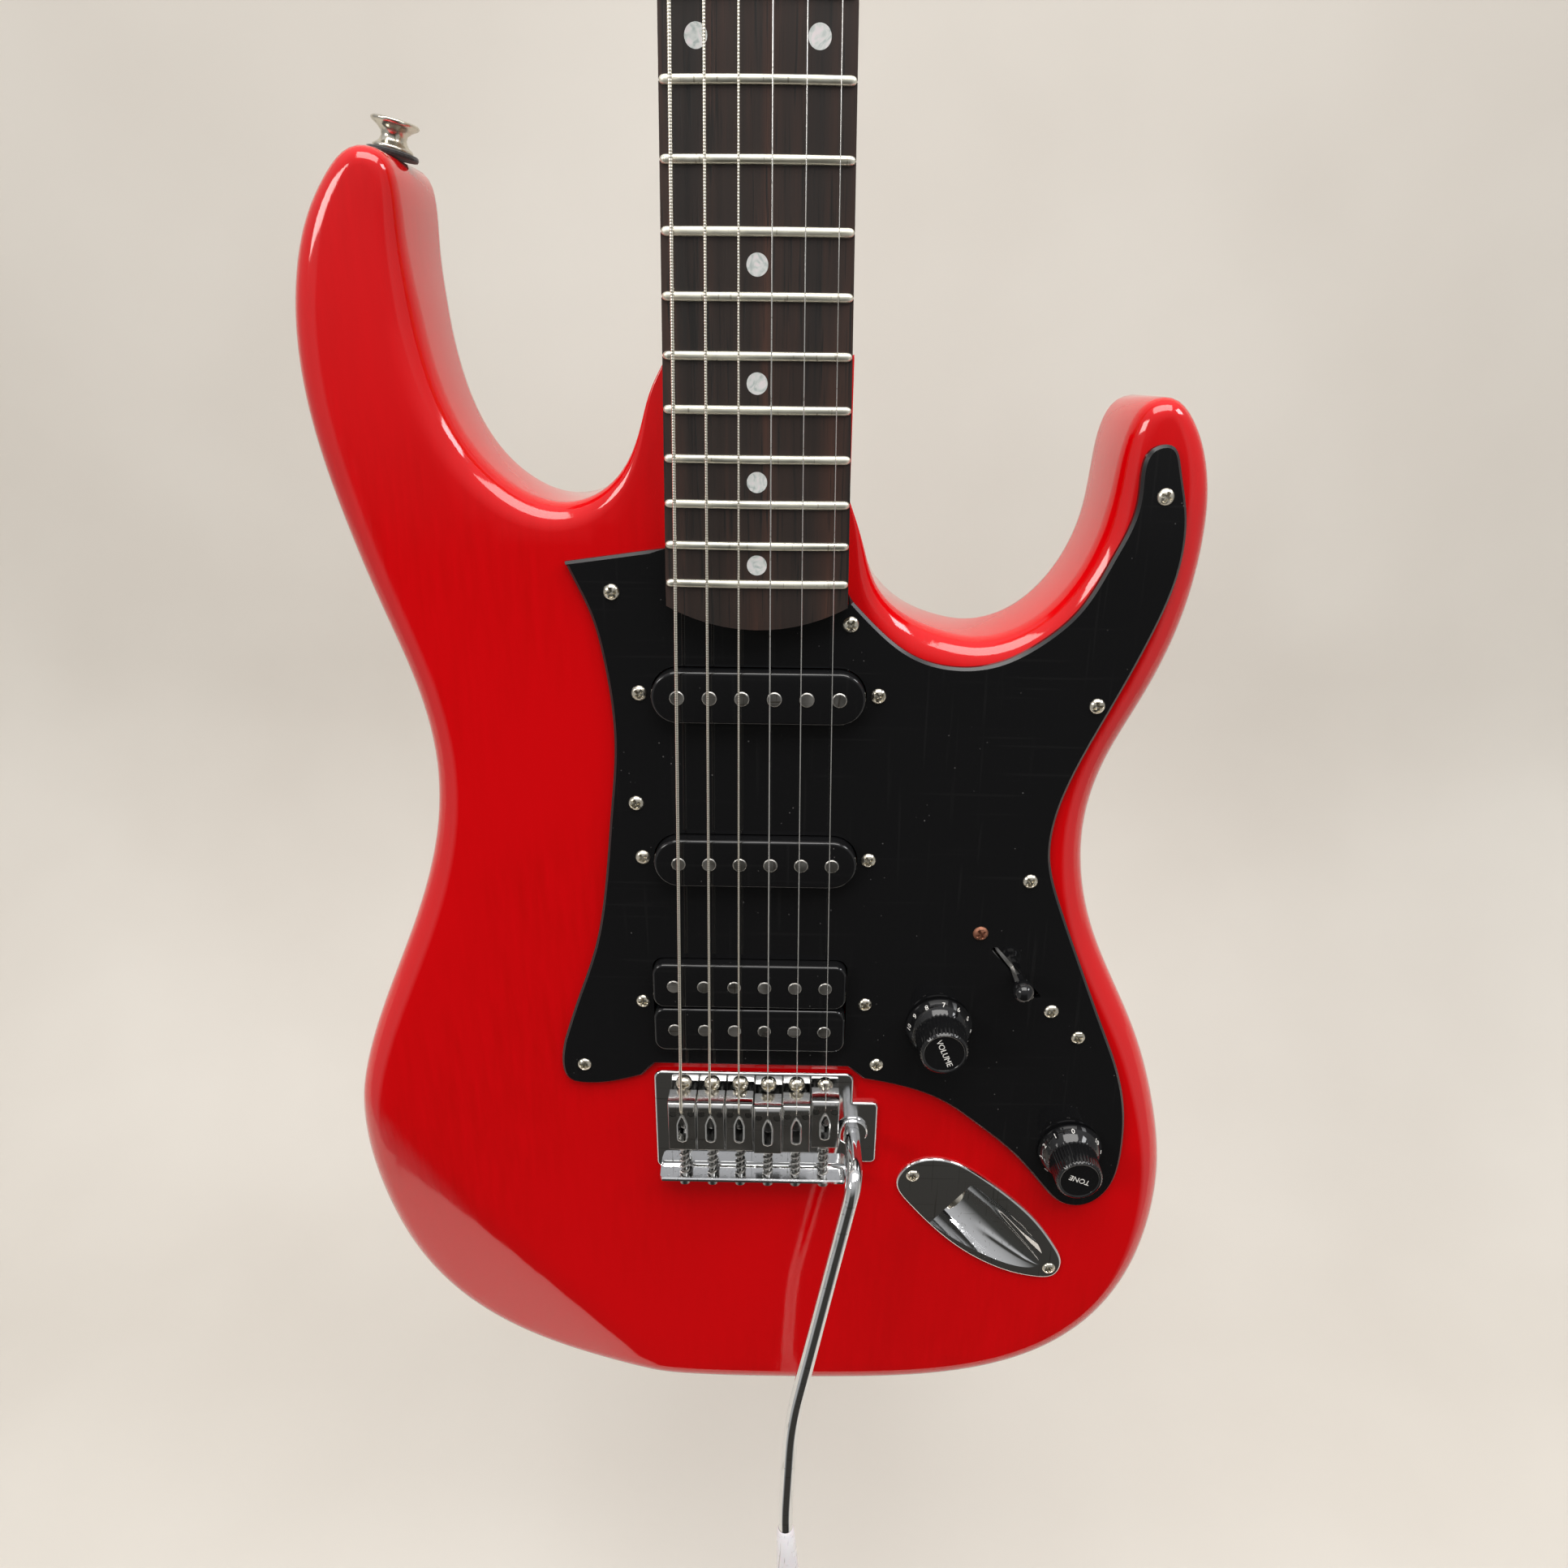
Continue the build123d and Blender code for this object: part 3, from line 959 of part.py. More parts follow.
SADDLE_LOW = TOP + 5.0
SADDLE_SLOT = (14.5, 3.7)
SADDLE_SLOT_BACK = 11.3    # middle of the slot behind the saddle's front
STRING_NOTCH_BACK = 4.0
GRUB_X = 3.4
GRUB_BACK = 5.6
GRUB_R = 1.2
RIDGE_ROUND = 2.0
with BuildPart() as saddles:
    for x, fore in zip(SADDLE_X, SADDLE_FORE):
        front = BRIDGE_Z + SADDLE_FRONT + fore
        with BuildSketch(face(SADDLE_LOW)):
            with Locations((x, front - SADDLE_LONG / 2)):
                Rectangle(SADDLE_WIDE, SADDLE_LONG)
        extrude(amount=TOP + SADDLE_RISE - SADDLE_LOW)
    ridges = saddles.edges().filter_by(Axis.X).group_by(Axis.Y)[0]
    fillet(ridges.filter_by_position(Axis.Z, BRIDGE_Z, BRIDGE_Z + 9), RIDGE_ROUND)
    for x, fore in zip(SADDLE_X, SADDLE_FORE):
        front = BRIDGE_Z + SADDLE_FRONT + fore
        with BuildSketch(face(SADDLE_LOW)):
            with Locations(Location((x, front - SADDLE_SLOT_BACK, 0), (0, 0, 90))):
                SlotOverall(*SADDLE_SLOT)
            with Locations((x, front - STRING_NOTCH_BACK)):
                Rectangle(1.5, 5.0)
            with Locations((x - GRUB_X, front - GRUB_BACK), (x + GRUB_X, front - GRUB_BACK)):
                Circle(GRUB_R + GAP)
        extrude(amount=20, mode=Mode.SUBTRACT)
        back = front - SADDLE_LONG
        rod((x, INTONATION_H, back - 1), (x, INTONATION_H, back + 6), INTONATION_R + GAP, Mode.SUBTRACT)
finish(saddles.part, "saddles")

with BuildPart() as saddle_screws:
    for x, fore in zip(SADDLE_X, SADDLE_FORE):
        front = BRIDGE_Z + SADDLE_FRONT + fore
        rod((x, INTONATION_H, WALL_Z - 1.8), (x, INTONATION_H, WALL_Z), 2.1)
        rod((x, INTONATION_H, WALL_Z), (x, INTONATION_H, front - SADDLE_LONG + 4), INTONATION_R)
        grubs = [(x - GRUB_X, front - GRUB_BACK), (x + GRUB_X, front - GRUB_BACK)]
        spots(grubs, PLATE_TOP, GRUB_R, SADDLE_RISE - PLATE_THICK - 2.0)
finish(saddle_screws.part, "saddle_screws")

with BuildPart() as intonation_springs:
    for x, fore in zip(SADDLE_X, SADDLE_FORE):
        start = WALL_Z + PLATE_THICK + 0.1
        end = BRIDGE_Z + SADDLE_FRONT + fore - SADDLE_LONG - 0.1
        rod((x, INTONATION_H, start), (x, INTONATION_H, end), 1.9)
        rod((x, INTONATION_H, start - 1), (x, INTONATION_H, end + 1), 1.35, Mode.SUBTRACT)
finish(intonation_springs.part, "intonation_springs")

with BuildPart() as pivot_screws:
    screws(PIVOT_SCREWS, PLATE_TOP + 0.9, 3.0, 1.6, PIVOT_SCREW_R, PIVOT_LONG)
    fillet(pivot_screws.faces().group_by(Axis.Y)[0].edges(), 1.0)
finish(pivot_screws.part, "pivot_screws")

ARM_PATH = [
    (36.5, 18.0, -17.0), (36.5, 51.5, -17.0), (15.1, 57.0, -131.5), (13.2, 61.0, -180.0), (14.5, 63.0, -206.0),
]
ARM_BENDS = (8.0, 40.0, 60.0)
TIP_LONG = 32.0
TIP_R = 4.6
with BuildPart() as trem_arm:
    with BuildLine():
        FilletPolyline(*[(x, -h, BRIDGE_Z + z) for x, h, z in ARM_PATH], radius=list(ARM_BENDS))
    with BuildSketch(Plane(origin=(ARM[0], -18, BRIDGE_Z + ARM[1]), z_dir=(0, -1, 0))):
        Circle(ARM_R)
    sweep()
finish(trem_arm.part, "trem_arm")

with BuildPart() as arm_tip:
    tip_end = Vector(ARM_PATH[-1][0], -ARM_PATH[-1][1], BRIDGE_Z + ARM_PATH[-1][2])
    tip_from = Vector(ARM_PATH[-2][0], -ARM_PATH[-2][1], BRIDGE_Z + ARM_PATH[-2][2])
    tip_way = (tip_end - tip_from).normalized()
    tip_start = tip_end - tip_way * 20
    with BuildSketch(Plane(origin=tip_start, z_dir=tip_way)):
        Circle(ARM_R + 0.6)
    with BuildSketch(Plane(origin=tip_start + tip_way * TIP_LONG * 0.75, z_dir=tip_way)):
        Circle(TIP_R)
    with BuildSketch(Plane(origin=tip_start + tip_way * TIP_LONG, z_dir=tip_way)):
        Circle(TIP_R - 0.6)
    loft()
    with BuildSketch(Plane(origin=tip_start, z_dir=tip_way)):
        Circle(ARM_R + GAP)
    extrude(amount=20 + GAP, mode=Mode.SUBTRACT)
finish(arm_tip.part, "arm_tip")

SPRING_XS = (-11.0, 0.0, 11.0)
SPRING_START = BRIDGE_Z + BLOCK_Z[1] + 0.3
with BuildPart() as trem_springs:
    for x in SPRING_XS:
        rod((x, SPRING_H, SPRING_START), (x, SPRING_H, CLAW_Z - 0.3), SPRING_R)
        rod((x, SPRING_H, SPRING_START - 1), (x, SPRING_H, CLAW_Z + 1), SPRING_R - 1, Mode.SUBTRACT)
finish(trem_springs.part, "trem_springs")

with BuildPart() as spring_claw:
    with BuildSketch(Plane.XY.offset(CLAW_Z)):
        with Locations((0, -CLAW_H)):
            Rectangle(52, 12)
        with Locations(*[(x, -CLAW_H) for x in CLAW_SCREWS_X]):
            Circle(LONG_SCREW_R + GAP, mode=Mode.SUBTRACT)
    extrude(amount=1.5)
finish(spring_claw.part, "spring_claw")


# ---------------------------------------------------------------- covers, screws and buttons
with BuildPart() as back_cover:
    with BuildSketch(face(BACK)):
        with Locations((0, COVER_MID)):
            RectangleRounded(COVER_X, COVER_Z, 6)
        with Locations((-1, BRIDGE_Z + BLOCK_MID - 4)):
            RectangleRounded(66, 18, 3, mode=Mode.SUBTRACT)
    extrude(amount=-COVER_THICK)
    chamfer(back_cover.faces().sort_by(Axis.Y)[-1].edges(), 0.6)
    spots(COVER_SCREWS, BACK, SCREW_R + GAP, -5, Mode.SUBTRACT)
finish(back_cover.part, "back_cover")

with BuildPart() as neck_plate:
    with BuildSketch(face(BACK)):
        with Locations((0, NECK_PLATE_Z)):
            RectangleRounded(*NECK_PLATE, 4)
    extrude(amount=-COVER_THICK)
    chamfer(neck_plate.faces().sort_by(Axis.Y)[-1].edges(), 0.5)
    spots(NECK_SCREWS, BACK, LONG_SCREW_R + GAP, -5, Mode.SUBTRACT)
finish(neck_plate.part, "neck_plate")

with BuildPart() as cover_screws:
    screws(GUARD_SCREWS, GUARD_TOP, SCREW_HEAD_R, SCREW_HEAD_HIGH, SCREW_R, SCREW_LONG)
    screws(JACK_SCREWS, TOP + JACK_THICK, SCREW_HEAD_R, SCREW_HEAD_HIGH, SCREW_R, SCREW_LONG)
    screws(COVER_SCREWS, BACK - COVER_THICK, SCREW_HEAD_R, -SCREW_HEAD_HIGH, SCREW_R, -SCREW_LONG)
finish(cover_screws.part, "cover_screws")

BUTTON_HIGH = 7.8
WASHER_THICK = 1.6


def seat_plane(seat, turn, rise):
    """Plane across a strap button's axis, a distance out of its seat."""
    x, z = along(seat, turn, rise)
    return Plane(origin=(x, 0, z), x_dir=(0, 1, 0), z_dir=(cos(radians(turn)), 0, sin(radians(turn))))


with BuildPart() as long_screws:
    screws(NECK_SCREWS, BACK - COVER_THICK, LONG_HEAD_R, -1.8, LONG_SCREW_R, -NECK_SCREW_LONG)
    for x in CLAW_SCREWS_X:
        rod((x, CLAW_H, CLAW_Z - 2), (x, CLAW_H, CLAW_Z), LONG_HEAD_R - 0.5)
        rod((x, CLAW_H, CLAW_Z), (x, CLAW_H, CLAW_Z + CLAW_SCREW_LONG - 1), LONG_SCREW_R)
    for seat, turn in ((HORN_SEAT, HORN_TURN), (TAIL_SEAT, TAIL_TURN)):
        inner = along(seat, turn, -BUTTON_SCREW_LONG)
        top = along(seat, turn, WASHER_THICK + BUTTON_HIGH - 2)
        cap = along(seat, turn, WASHER_THICK + BUTTON_HIGH - 0.4)
        rod((inner[0], 0, inner[1]), (top[0], 0, top[1]), LONG_SCREW_R)
        rod((top[0], 0, top[1]), (cap[0], 0, cap[1]), LONG_HEAD_R - 0.6)
finish(long_screws.part, "long_screws")

with BuildPart() as strap_washers:
    for seat, turn in ((HORN_SEAT, HORN_TURN), (TAIL_SEAT, TAIL_TURN)):
        with BuildSketch(seat_plane(seat, turn, 0)):
            Circle(SEAT_R)
            Circle(LONG_SCREW_R + GAP, mode=Mode.SUBTRACT)
        extrude(amount=WASHER_THICK)
finish(strap_washers.part, "strap_washers")

BUTTON_PROFILE = [
    (0.0, 0.0), (5.6, 0.0), (5.6, 1.0), (4.0, 2.0), (3.5, 3.4), (4.2, 4.9), (6.8, 6.8), (6.8, 7.4),
    (6.4, BUTTON_HIGH), (3.8, BUTTON_HIGH), (3.8, BUTTON_HIGH - 2), (0.0, BUTTON_HIGH - 2),
]
with BuildPart() as strap_buttons:
    for seat, turn in ((HORN_SEAT, HORN_TURN), (TAIL_SEAT, TAIL_TURN)):
        base = seat_plane(seat, turn, WASHER_THICK)
        side = Plane(origin=base.origin, x_dir=(0, 1, 0), z_dir=base.x_dir.cross(base.z_dir))
        with BuildSketch(side):
            with BuildLine():
                Polyline(*[(r, up) for r, up in BUTTON_PROFILE], close=True)
            make_face()
        revolve(axis=Axis(base.origin, base.z_dir))
        with BuildSketch(base):
            Circle(LONG_SCREW_R + GAP)
        extrude(amount=BUTTON_HIGH, mode=Mode.SUBTRACT)
finish(strap_buttons.part, "strap_buttons")


# ---------------------------------------------------------------- strings
BALL_R = 1.9
STRING_H_HEAD = HEAD_FACE + 6.0


def ball(x, h, z, radius):
    """A ball, for the bend of a string over its saddle or nut."""
    with Locations((x, -h, z)):
        Sphere(radius)


def string(number):
    """One string from its ball end, over the saddle and the nut, to its tuner post."""
    step = STEPS[number]
    r = STRING_R[number]
    post = POSTS[number]
    saddle_z = BRIDGE_Z + SADDLE_FORE[number]
    x0 = string_x(step, BRIDGE_Z)
    hole_x = SADDLE_X[number]
    hole_z = BRIDGE_Z + BLOCK_MID
    bottom = (hole_x, BLOCK_LOW + 9, hole_z)
    lift = (hole_x, PLATE_TOP + 3, hole_z)
    crest = (x0, string_h(r, saddle_z), saddle_z)
    at_nut = (step * SPREAD_NUT, string_h(r, NUT_Z), NUT_Z + NUT_THICK - 0.2)
    wound = (post[0] + POST_R + r + 0.05, STRING_H_HEAD, post[1])
    rod((hole_x, BLOCK_LOW + 6, hole_z), bottom, BALL_R)
    for a, b in ((bottom, lift), (lift, crest), (crest, at_nut), (at_nut, wound)):
        rod(a, b, r)
    for p in (lift, crest, at_nut):
        ball(*p, r)


with BuildPart() as strings_wound:
    for number in (0, 1, 2):
        string(number)
finish(strings_wound.part, "strings_wound")

with BuildPart() as strings_plain:
    for number in (3, 4, 5):
        string(number)
finish(strings_plain.part, "strings_plain")
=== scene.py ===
import math
import bmesh
import bpy
import numpy as np
from mathutils.geometry import delaunay_2d_cdt
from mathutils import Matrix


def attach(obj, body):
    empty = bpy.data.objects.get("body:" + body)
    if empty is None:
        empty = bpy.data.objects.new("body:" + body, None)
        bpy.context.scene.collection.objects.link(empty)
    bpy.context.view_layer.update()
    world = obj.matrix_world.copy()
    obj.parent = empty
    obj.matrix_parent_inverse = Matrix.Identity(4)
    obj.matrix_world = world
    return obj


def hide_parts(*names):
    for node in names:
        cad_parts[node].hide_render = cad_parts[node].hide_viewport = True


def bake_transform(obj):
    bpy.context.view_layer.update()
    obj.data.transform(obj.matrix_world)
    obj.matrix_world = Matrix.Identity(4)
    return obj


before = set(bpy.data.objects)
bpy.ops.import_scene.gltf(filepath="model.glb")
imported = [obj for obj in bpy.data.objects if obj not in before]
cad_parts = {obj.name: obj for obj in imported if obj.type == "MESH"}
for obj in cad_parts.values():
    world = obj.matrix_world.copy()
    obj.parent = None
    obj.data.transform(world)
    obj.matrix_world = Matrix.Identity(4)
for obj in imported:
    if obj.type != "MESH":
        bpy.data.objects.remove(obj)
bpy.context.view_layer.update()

# ------------------------------------------------------------------ studio
# A plain pale sweep: a floor that turns up into a wall behind the instrument. The lights are soft
# boxes overhead and at the left, and the room in front stays dark, so that gloss black reads black.
def node(tree, kind, sockets=None, **settings):
    """One shader node: settings name its properties, and sockets give its inputs a value or a wire."""
    made = tree.nodes.new("ShaderNode" + kind)
    for key, value in settings.items():
        setattr(made, key, value)
    for key, value in (sockets or {}).items():
        if isinstance(value, bpy.types.NodeSocket):
            tree.links.new(value, made.inputs[key])
        else:
            made.inputs[key].default_value = value
    return made


def finish(name, colour, roughness, metallic=0.0, **constants):
    """A material with one Principled shader. Colour, roughness and metallic may be wired later."""
    material = bpy.data.materials.new(name)
    material.use_nodes = True
    material.node_tree.nodes.clear()
    shader = node(material.node_tree, "BsdfPrincipled", {
        "Base Color": (*colour, 1.0), "Roughness": roughness, "Metallic": metallic,
        **{key.replace("_", " ").title().replace("Ior", "IOR"): value for key, value in constants.items()},
    })
    node(material.node_tree, "OutputMaterial", {"Surface": shader.outputs["BSDF"]})
    return material, material.node_tree, shader


def ramp(tree, value, stops):
    """Colours along a value: stops are pairs of a place from 0 to 1 and a linear colour."""
    made = node(tree, "ValToRGB", {"Fac": value})
    elements = made.color_ramp.elements
    while len(elements) < len(stops):
        elements.new(0.5)
    for element, (place_at, colour) in zip(elements, stops):
        element.position = place_at
        element.color = (*colour, 1.0)
    return made.outputs["Color"]


def span(tree, value, low, high, to_low, to_high):
    """A value moved from one range to another, and held at its ends."""
    return node(tree, "MapRange", {
        "Value": value, "From Min": low, "From Max": high, "To Min": to_low, "To Max": to_high,
    }).outputs["Result"]


def grid(points, closed=True, flip=False):
    """Corners and quads of one or many grids. Rows run along a profile and columns round the piece, and the
    last column joins the first where closed. Seen from outside, a row's next column is on the right."""
    many = points.reshape((-1,) + points.shape[-3:])
    count, rows, columns = many.shape[:3]
    index = np.arange(count * rows * columns).reshape(count, rows, columns)
    here = index if closed else index[:, :, :-1]
    after = np.roll(index, -1, axis=2) if closed else index[:, :, 1:]
    quads = np.stack([here[:, :-1], after[:, :-1], after[:, 1:], here[:, 1:]], axis=-1).reshape(-1, 4)
    return many.reshape(-1, 3), (quads[:, ::-1] if flip else quads).tolist()


def make(name, parts, material, body="root", replaces=(), sharp=32.0):
    """One piece from its surfaces: corners that meet are merged, edges sharper than an angle stay crisp."""
    corners, faces = [], []
    for points, polygons in parts:
        start = sum(len(c) for c in corners)
        corners.append(points)
        faces += [[start + corner for corner in polygon] for polygon in polygons]
    mesh = bpy.data.meshes.new(name)
    mesh.from_pydata(np.concatenate(corners).tolist(), [], faces)
    piece = bpy.data.objects.new(name, mesh)
    bpy.context.collection.objects.link(piece)
    weld(mesh)
    mesh.shade_smooth()
    mesh.set_sharp_from_angle(angle=math.radians(sharp))
    mesh.materials.append(material)
    if body:
        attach(piece, body)
    if replaces:
        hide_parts(*replaces)
    return piece


def weld(mesh):
    """Merges the corners that meet and drops the faces that have closed up."""
    work = bmesh.new()
    work.from_mesh(mesh)
    bmesh.ops.remove_doubles(work, verts=work.verts, dist=2e-6)
    bmesh.ops.dissolve_degenerate(work, edges=work.edges, dist=1e-7)
    work.to_mesh(mesh)
    work.free()


def studio():
    """The sweep, the lights, the room's glow and the camera."""
    turn = np.linspace(0, np.pi / 2, 14)
    depth = np.concatenate([[-0.22], 0.3 + 0.45 * np.sin(turn), [0.75]])
    rise = np.concatenate([[-0.34], 0.11 - 0.45 * np.cos(turn), [2.6]])
    width = np.array([-2.6, 2.6])
    sheet = np.stack(np.broadcast_arrays(width[None], depth[:, None], rise[:, None]), axis=-1)
    material, tree, shader = finish("studio_sweep", (0.62, 0.60, 0.575), 0.7)
    where = node(tree, "TexCoord").outputs["Object"]
    cloud = node(tree, "TexNoise", {"Vector": where, "Scale": 2.2, "Detail": 3.0}).outputs["Fac"]
    tone = ramp(tree, cloud, [(0.3, (0.55, 0.515, 0.465)), (0.75, (0.63, 0.60, 0.55))])
    tree.links.new(tone, shader.inputs["Base Color"])
    rear = node(tree, "NewGeometry").outputs["Backfacing"]
    clear = node(tree, "BsdfTransparent").outputs["BSDF"]
    both = node(tree, "MixShader", {"Fac": rear, 1: shader.outputs["BSDF"], 2: clear}).outputs["Shader"]
    tree.links.new(both, [n for n in tree.nodes if n.type == "OUTPUT_MATERIAL"][0].inputs["Surface"])
    sweep = make("studio_sweep", [grid(sheet, closed=False)], material, body=None)
    boxes = (
        ("overhead", (0.1, -1.0, 2.3), (26, 0, 0), 2.2, 52.0, (1.0, 0.98, 0.95)),
        ("left_front", (-2.0, -1.6, 1.3), (66, 0, -52), 1.1, 20.0, (1.0, 0.97, 0.94)),
        ("right_high", (1.9, -0.7, 1.8), (50, 0, 70), 0.9, 16.0, (0.97, 0.98, 1.0)),
        ("behind", (0.4, 2.2, 2.0), (-50, 0, -10), 1.6, 18.0, (1.0, 1.0, 1.0)),
    )
    for name, at, turned, size, power, colour in boxes:
        lamp = bpy.data.lights.new(name, "AREA")
        lamp.shape, lamp.size, lamp.size_y = "RECTANGLE", size, size * 0.6
        lamp.energy, lamp.color = power, colour
        box = bpy.data.objects.new(name, lamp)
        box.location = at
        box.rotation_euler = [math.radians(a) for a in turned]
        bpy.context.collection.objects.link(box)
    world = bpy.data.worlds.new("room")
    bpy.context.scene.world = world
    world.use_nodes = True
    tree = world.node_tree
    tree.nodes.clear()
    look = node(tree, "TexCoord").outputs["Generated"]
    split = node(tree, "SeparateXYZ", {"Vector": look})
    glow = ramp(tree, span(tree, split.outputs["Z"], -1, 1, 0, 1), [
        (0.0, (0.05, 0.045, 0.04)), (0.42, (0.06, 0.06, 0.055)), (0.62, (0.42, 0.42, 0.42)),
        (1.0, (0.9, 0.9, 0.92)),
    ])
    aside = node(tree, "Math", {0: split.outputs["X"]}, operation="ABSOLUTE").outputs[0]
    flank = ramp(tree, aside, [
        (0.0, (0, 0, 0)), (0.4, (0, 0, 0)), (0.6, (0.55, 0.55, 0.54)), (1.0, (0.42, 0.42, 0.41)),
    ])
    bright = node(tree, "Mix", {"Factor": 1.0, 6: glow, 7: flank},
                  data_type="RGBA", blend_type="LIGHTEN").outputs[2]
    room = node(tree, "Background", {"Color": bright, "Strength": 0.9}).outputs[0]
    pale = node(tree, "Background", {"Color": (0.68, 0.655, 0.61, 1), "Strength": 1.0}).outputs[0]
    seen = node(tree, "LightPath").outputs["Is Camera Ray"]
    both = node(tree, "MixShader", {"Fac": seen, 1: room, 2: pale}).outputs["Shader"]
    node(tree, "OutputWorld", {"Surface": both})
    lens = bpy.data.cameras.new("camera")
    lens.lens, lens.sensor_width = 24.46, 36.0
    lens.clip_start = 0.01
    camera = bpy.data.objects.new("camera", lens)
    camera.location = (0.0118, -0.3559, 0.4096)
    camera.rotation_euler = (1.19878, -0.01107, 0.01291)
    bpy.context.collection.objects.link(camera)
    bpy.context.scene.camera = camera
    bpy.context.scene.view_settings.view_transform = "Standard"


studio()

# ------------------------------------------------------------------ body
# One thick slab of light wood under a deep red gloss lacquer, its rim rounded over by a router. The
# forearm bevel falls away at the lower bass side, and the back is scooped for the ribs. The grain
# has sunk a little through the lacquer, and shows as a fine ripple in the gloss.
TOP, BACK = 22.0, -22.0
BRIDGE_Z, SCALE = 155.5, 648.0
EDGE = (
    (28, 372), (32.5, 359.5), (38, 345), (48, 335.5), (60, 330.5), (72, 328.8), (84, 332), (95, 340.5),
    (103, 352.5), (108, 368), (109.8, 384), (111.6, 394), (116, 401.2), (123, 402.8), (130.5, 396.8),
    (136, 386), (139.3, 371), (139.3, 355), (135.5, 332), (127, 308.5), (118, 288), (113.6, 268.5),
    (114.5, 246), (121, 222.5), (131, 201), (142.5, 177.5), (152.5, 149), (158.8, 119), (159, 90),
    (153.5, 62.5), (140.5, 37.5), (121, 19.5), (95, 8), (63, 2.2), (30, 0.4), (0, 0), (-34, 0.8),
    (-70, 4.5), (-103, 13.5), (-129, 31), (-145.5, 55.5), (-154, 85), (-156.8, 116), (-153.5, 147.5),
    (-145, 175), (-133, 203), (-120.5, 232.5), (-112.5, 260), (-110.3, 284), (-113.8, 309), (-122.5, 337),
    (-131.5, 368), (-136.8, 395), (-137.2, 421), (-131.2, 445), (-121.8, 459.5), (-112, 466.2), (-104.4, 464),
    (-101.6, 455.5), (-101.4, 443.5), (-100.2, 428), (-97, 408), (-89.5, 389), (-77, 375.5), (-62, 370),
    (-50, 373), (-41, 381), (-35.5, 392.5), (-32, 403), (-28, 410.5),
)
RIM = 9.5
POCKET_HALF, POCKET_FOOT = 28, 372
BEVEL_FROM, BEVEL_TO, BEVEL_SLOPE = (-97.0, 76.0), (-48.0, 14.0), math.tan(math.radians(14))


def place(x, h, z):
    """Metres in the frame, from X, the height h towards the front and Z in millimetres."""
    return np.stack(np.broadcast_arrays(x, -np.asarray(h, float), z), axis=-1) / 1000.0


def curve(points, count, closed=False):
    """Points spread evenly along a smooth line through given ones: between neighbours each coordinate is a cubic,
    whose slope and bend carry on into the next."""
    p = np.array(points, float)
    if closed:
        p = np.vstack([p, p[:1]])
    step = np.linalg.norm(np.diff(p, axis=0), axis=1)
    t = np.concatenate([[0], np.cumsum(step)])
    size = len(t)
    slope = np.diff(p, axis=0) / step[:, None]
    system, right = np.zeros((size, size)), np.zeros_like(p)
    i = np.arange(1, size - 1)
    system[i, i - 1], system[i, i], system[i, i + 1] = step[:-1], 2 * (step[:-1] + step[1:]), step[1:]
    right[1:-1] = 6 * np.diff(slope, axis=0)
    system[0, 0] = system[-1, -1] = 1
    if closed:
        system[0, :2] = 2 * step[0], step[0]
        system[0, -2:] = step[-1], 2 * step[-1]
        right[0] = 6 * (slope[0] - slope[-1])
        system[-1, 0] = -1
    bend = np.linalg.solve(system, right)
    s = np.linspace(0, t[-1], count * 10)
    k = np.clip(np.searchsorted(t, s, side="right") - 1, 0, size - 2)
    a = ((t[k + 1] - s) / step[k])[:, None]
    b = 1 - a
    sag = ((a ** 3 - a) * bend[k] + (b ** 3 - b) * bend[k + 1]) * (step[k] ** 2)[:, None] / 6
    line = a * p[k] + b * p[k + 1] + sag
    run = np.concatenate([[0], np.cumsum(np.linalg.norm(np.diff(line, axis=0), axis=1))])
    wanted = np.linspace(0, run[-1], count + 1)[:-1] if closed else np.linspace(0, run[-1], count)
    return np.stack([np.interp(wanted, run, line[:, c]) for c in range(p.shape[1])], axis=1)


def straight(a, b, count):
    """Points between two, without the first and the last."""
    t = np.linspace(0, 1, count + 2)[1:-1, None]
    return np.array(a, float) * (1 - t) + np.array(b, float) * t


def outward(loop):
    """Unit vectors out of a closed outline that runs anticlockwise as seen from the front."""
    along = np.roll(loop, -1, axis=0) - np.roll(loop, 1, axis=0)
    out = np.stack([along[:, 1], -along[:, 0]], axis=1)
    return out / np.linalg.norm(out, axis=1, keepdims=True)


def inside(points, loop):
    """Which points lie in a closed outline: a line to the right of each crosses it an odd number of times."""
    x, z = points[:, 0, None], points[:, 1, None]
    x0, z0 = loop[:, 0], loop[:, 1]
    x1, z1 = np.roll(x0, -1), np.roll(z0, -1)
    between = (z0 > z) != (z1 > z)
    crossing = x0 + (z - z0) * (x1 - x0) / np.where(z1 == z0, 1e-9, z1 - z0)
    return np.count_nonzero(between & (x < crossing), axis=1) % 2 == 1


def level(height, x, z):
    """A height that is a number, or a function of X and Z."""
    return height(x, z) if callable(height) else np.full_like(x, height)


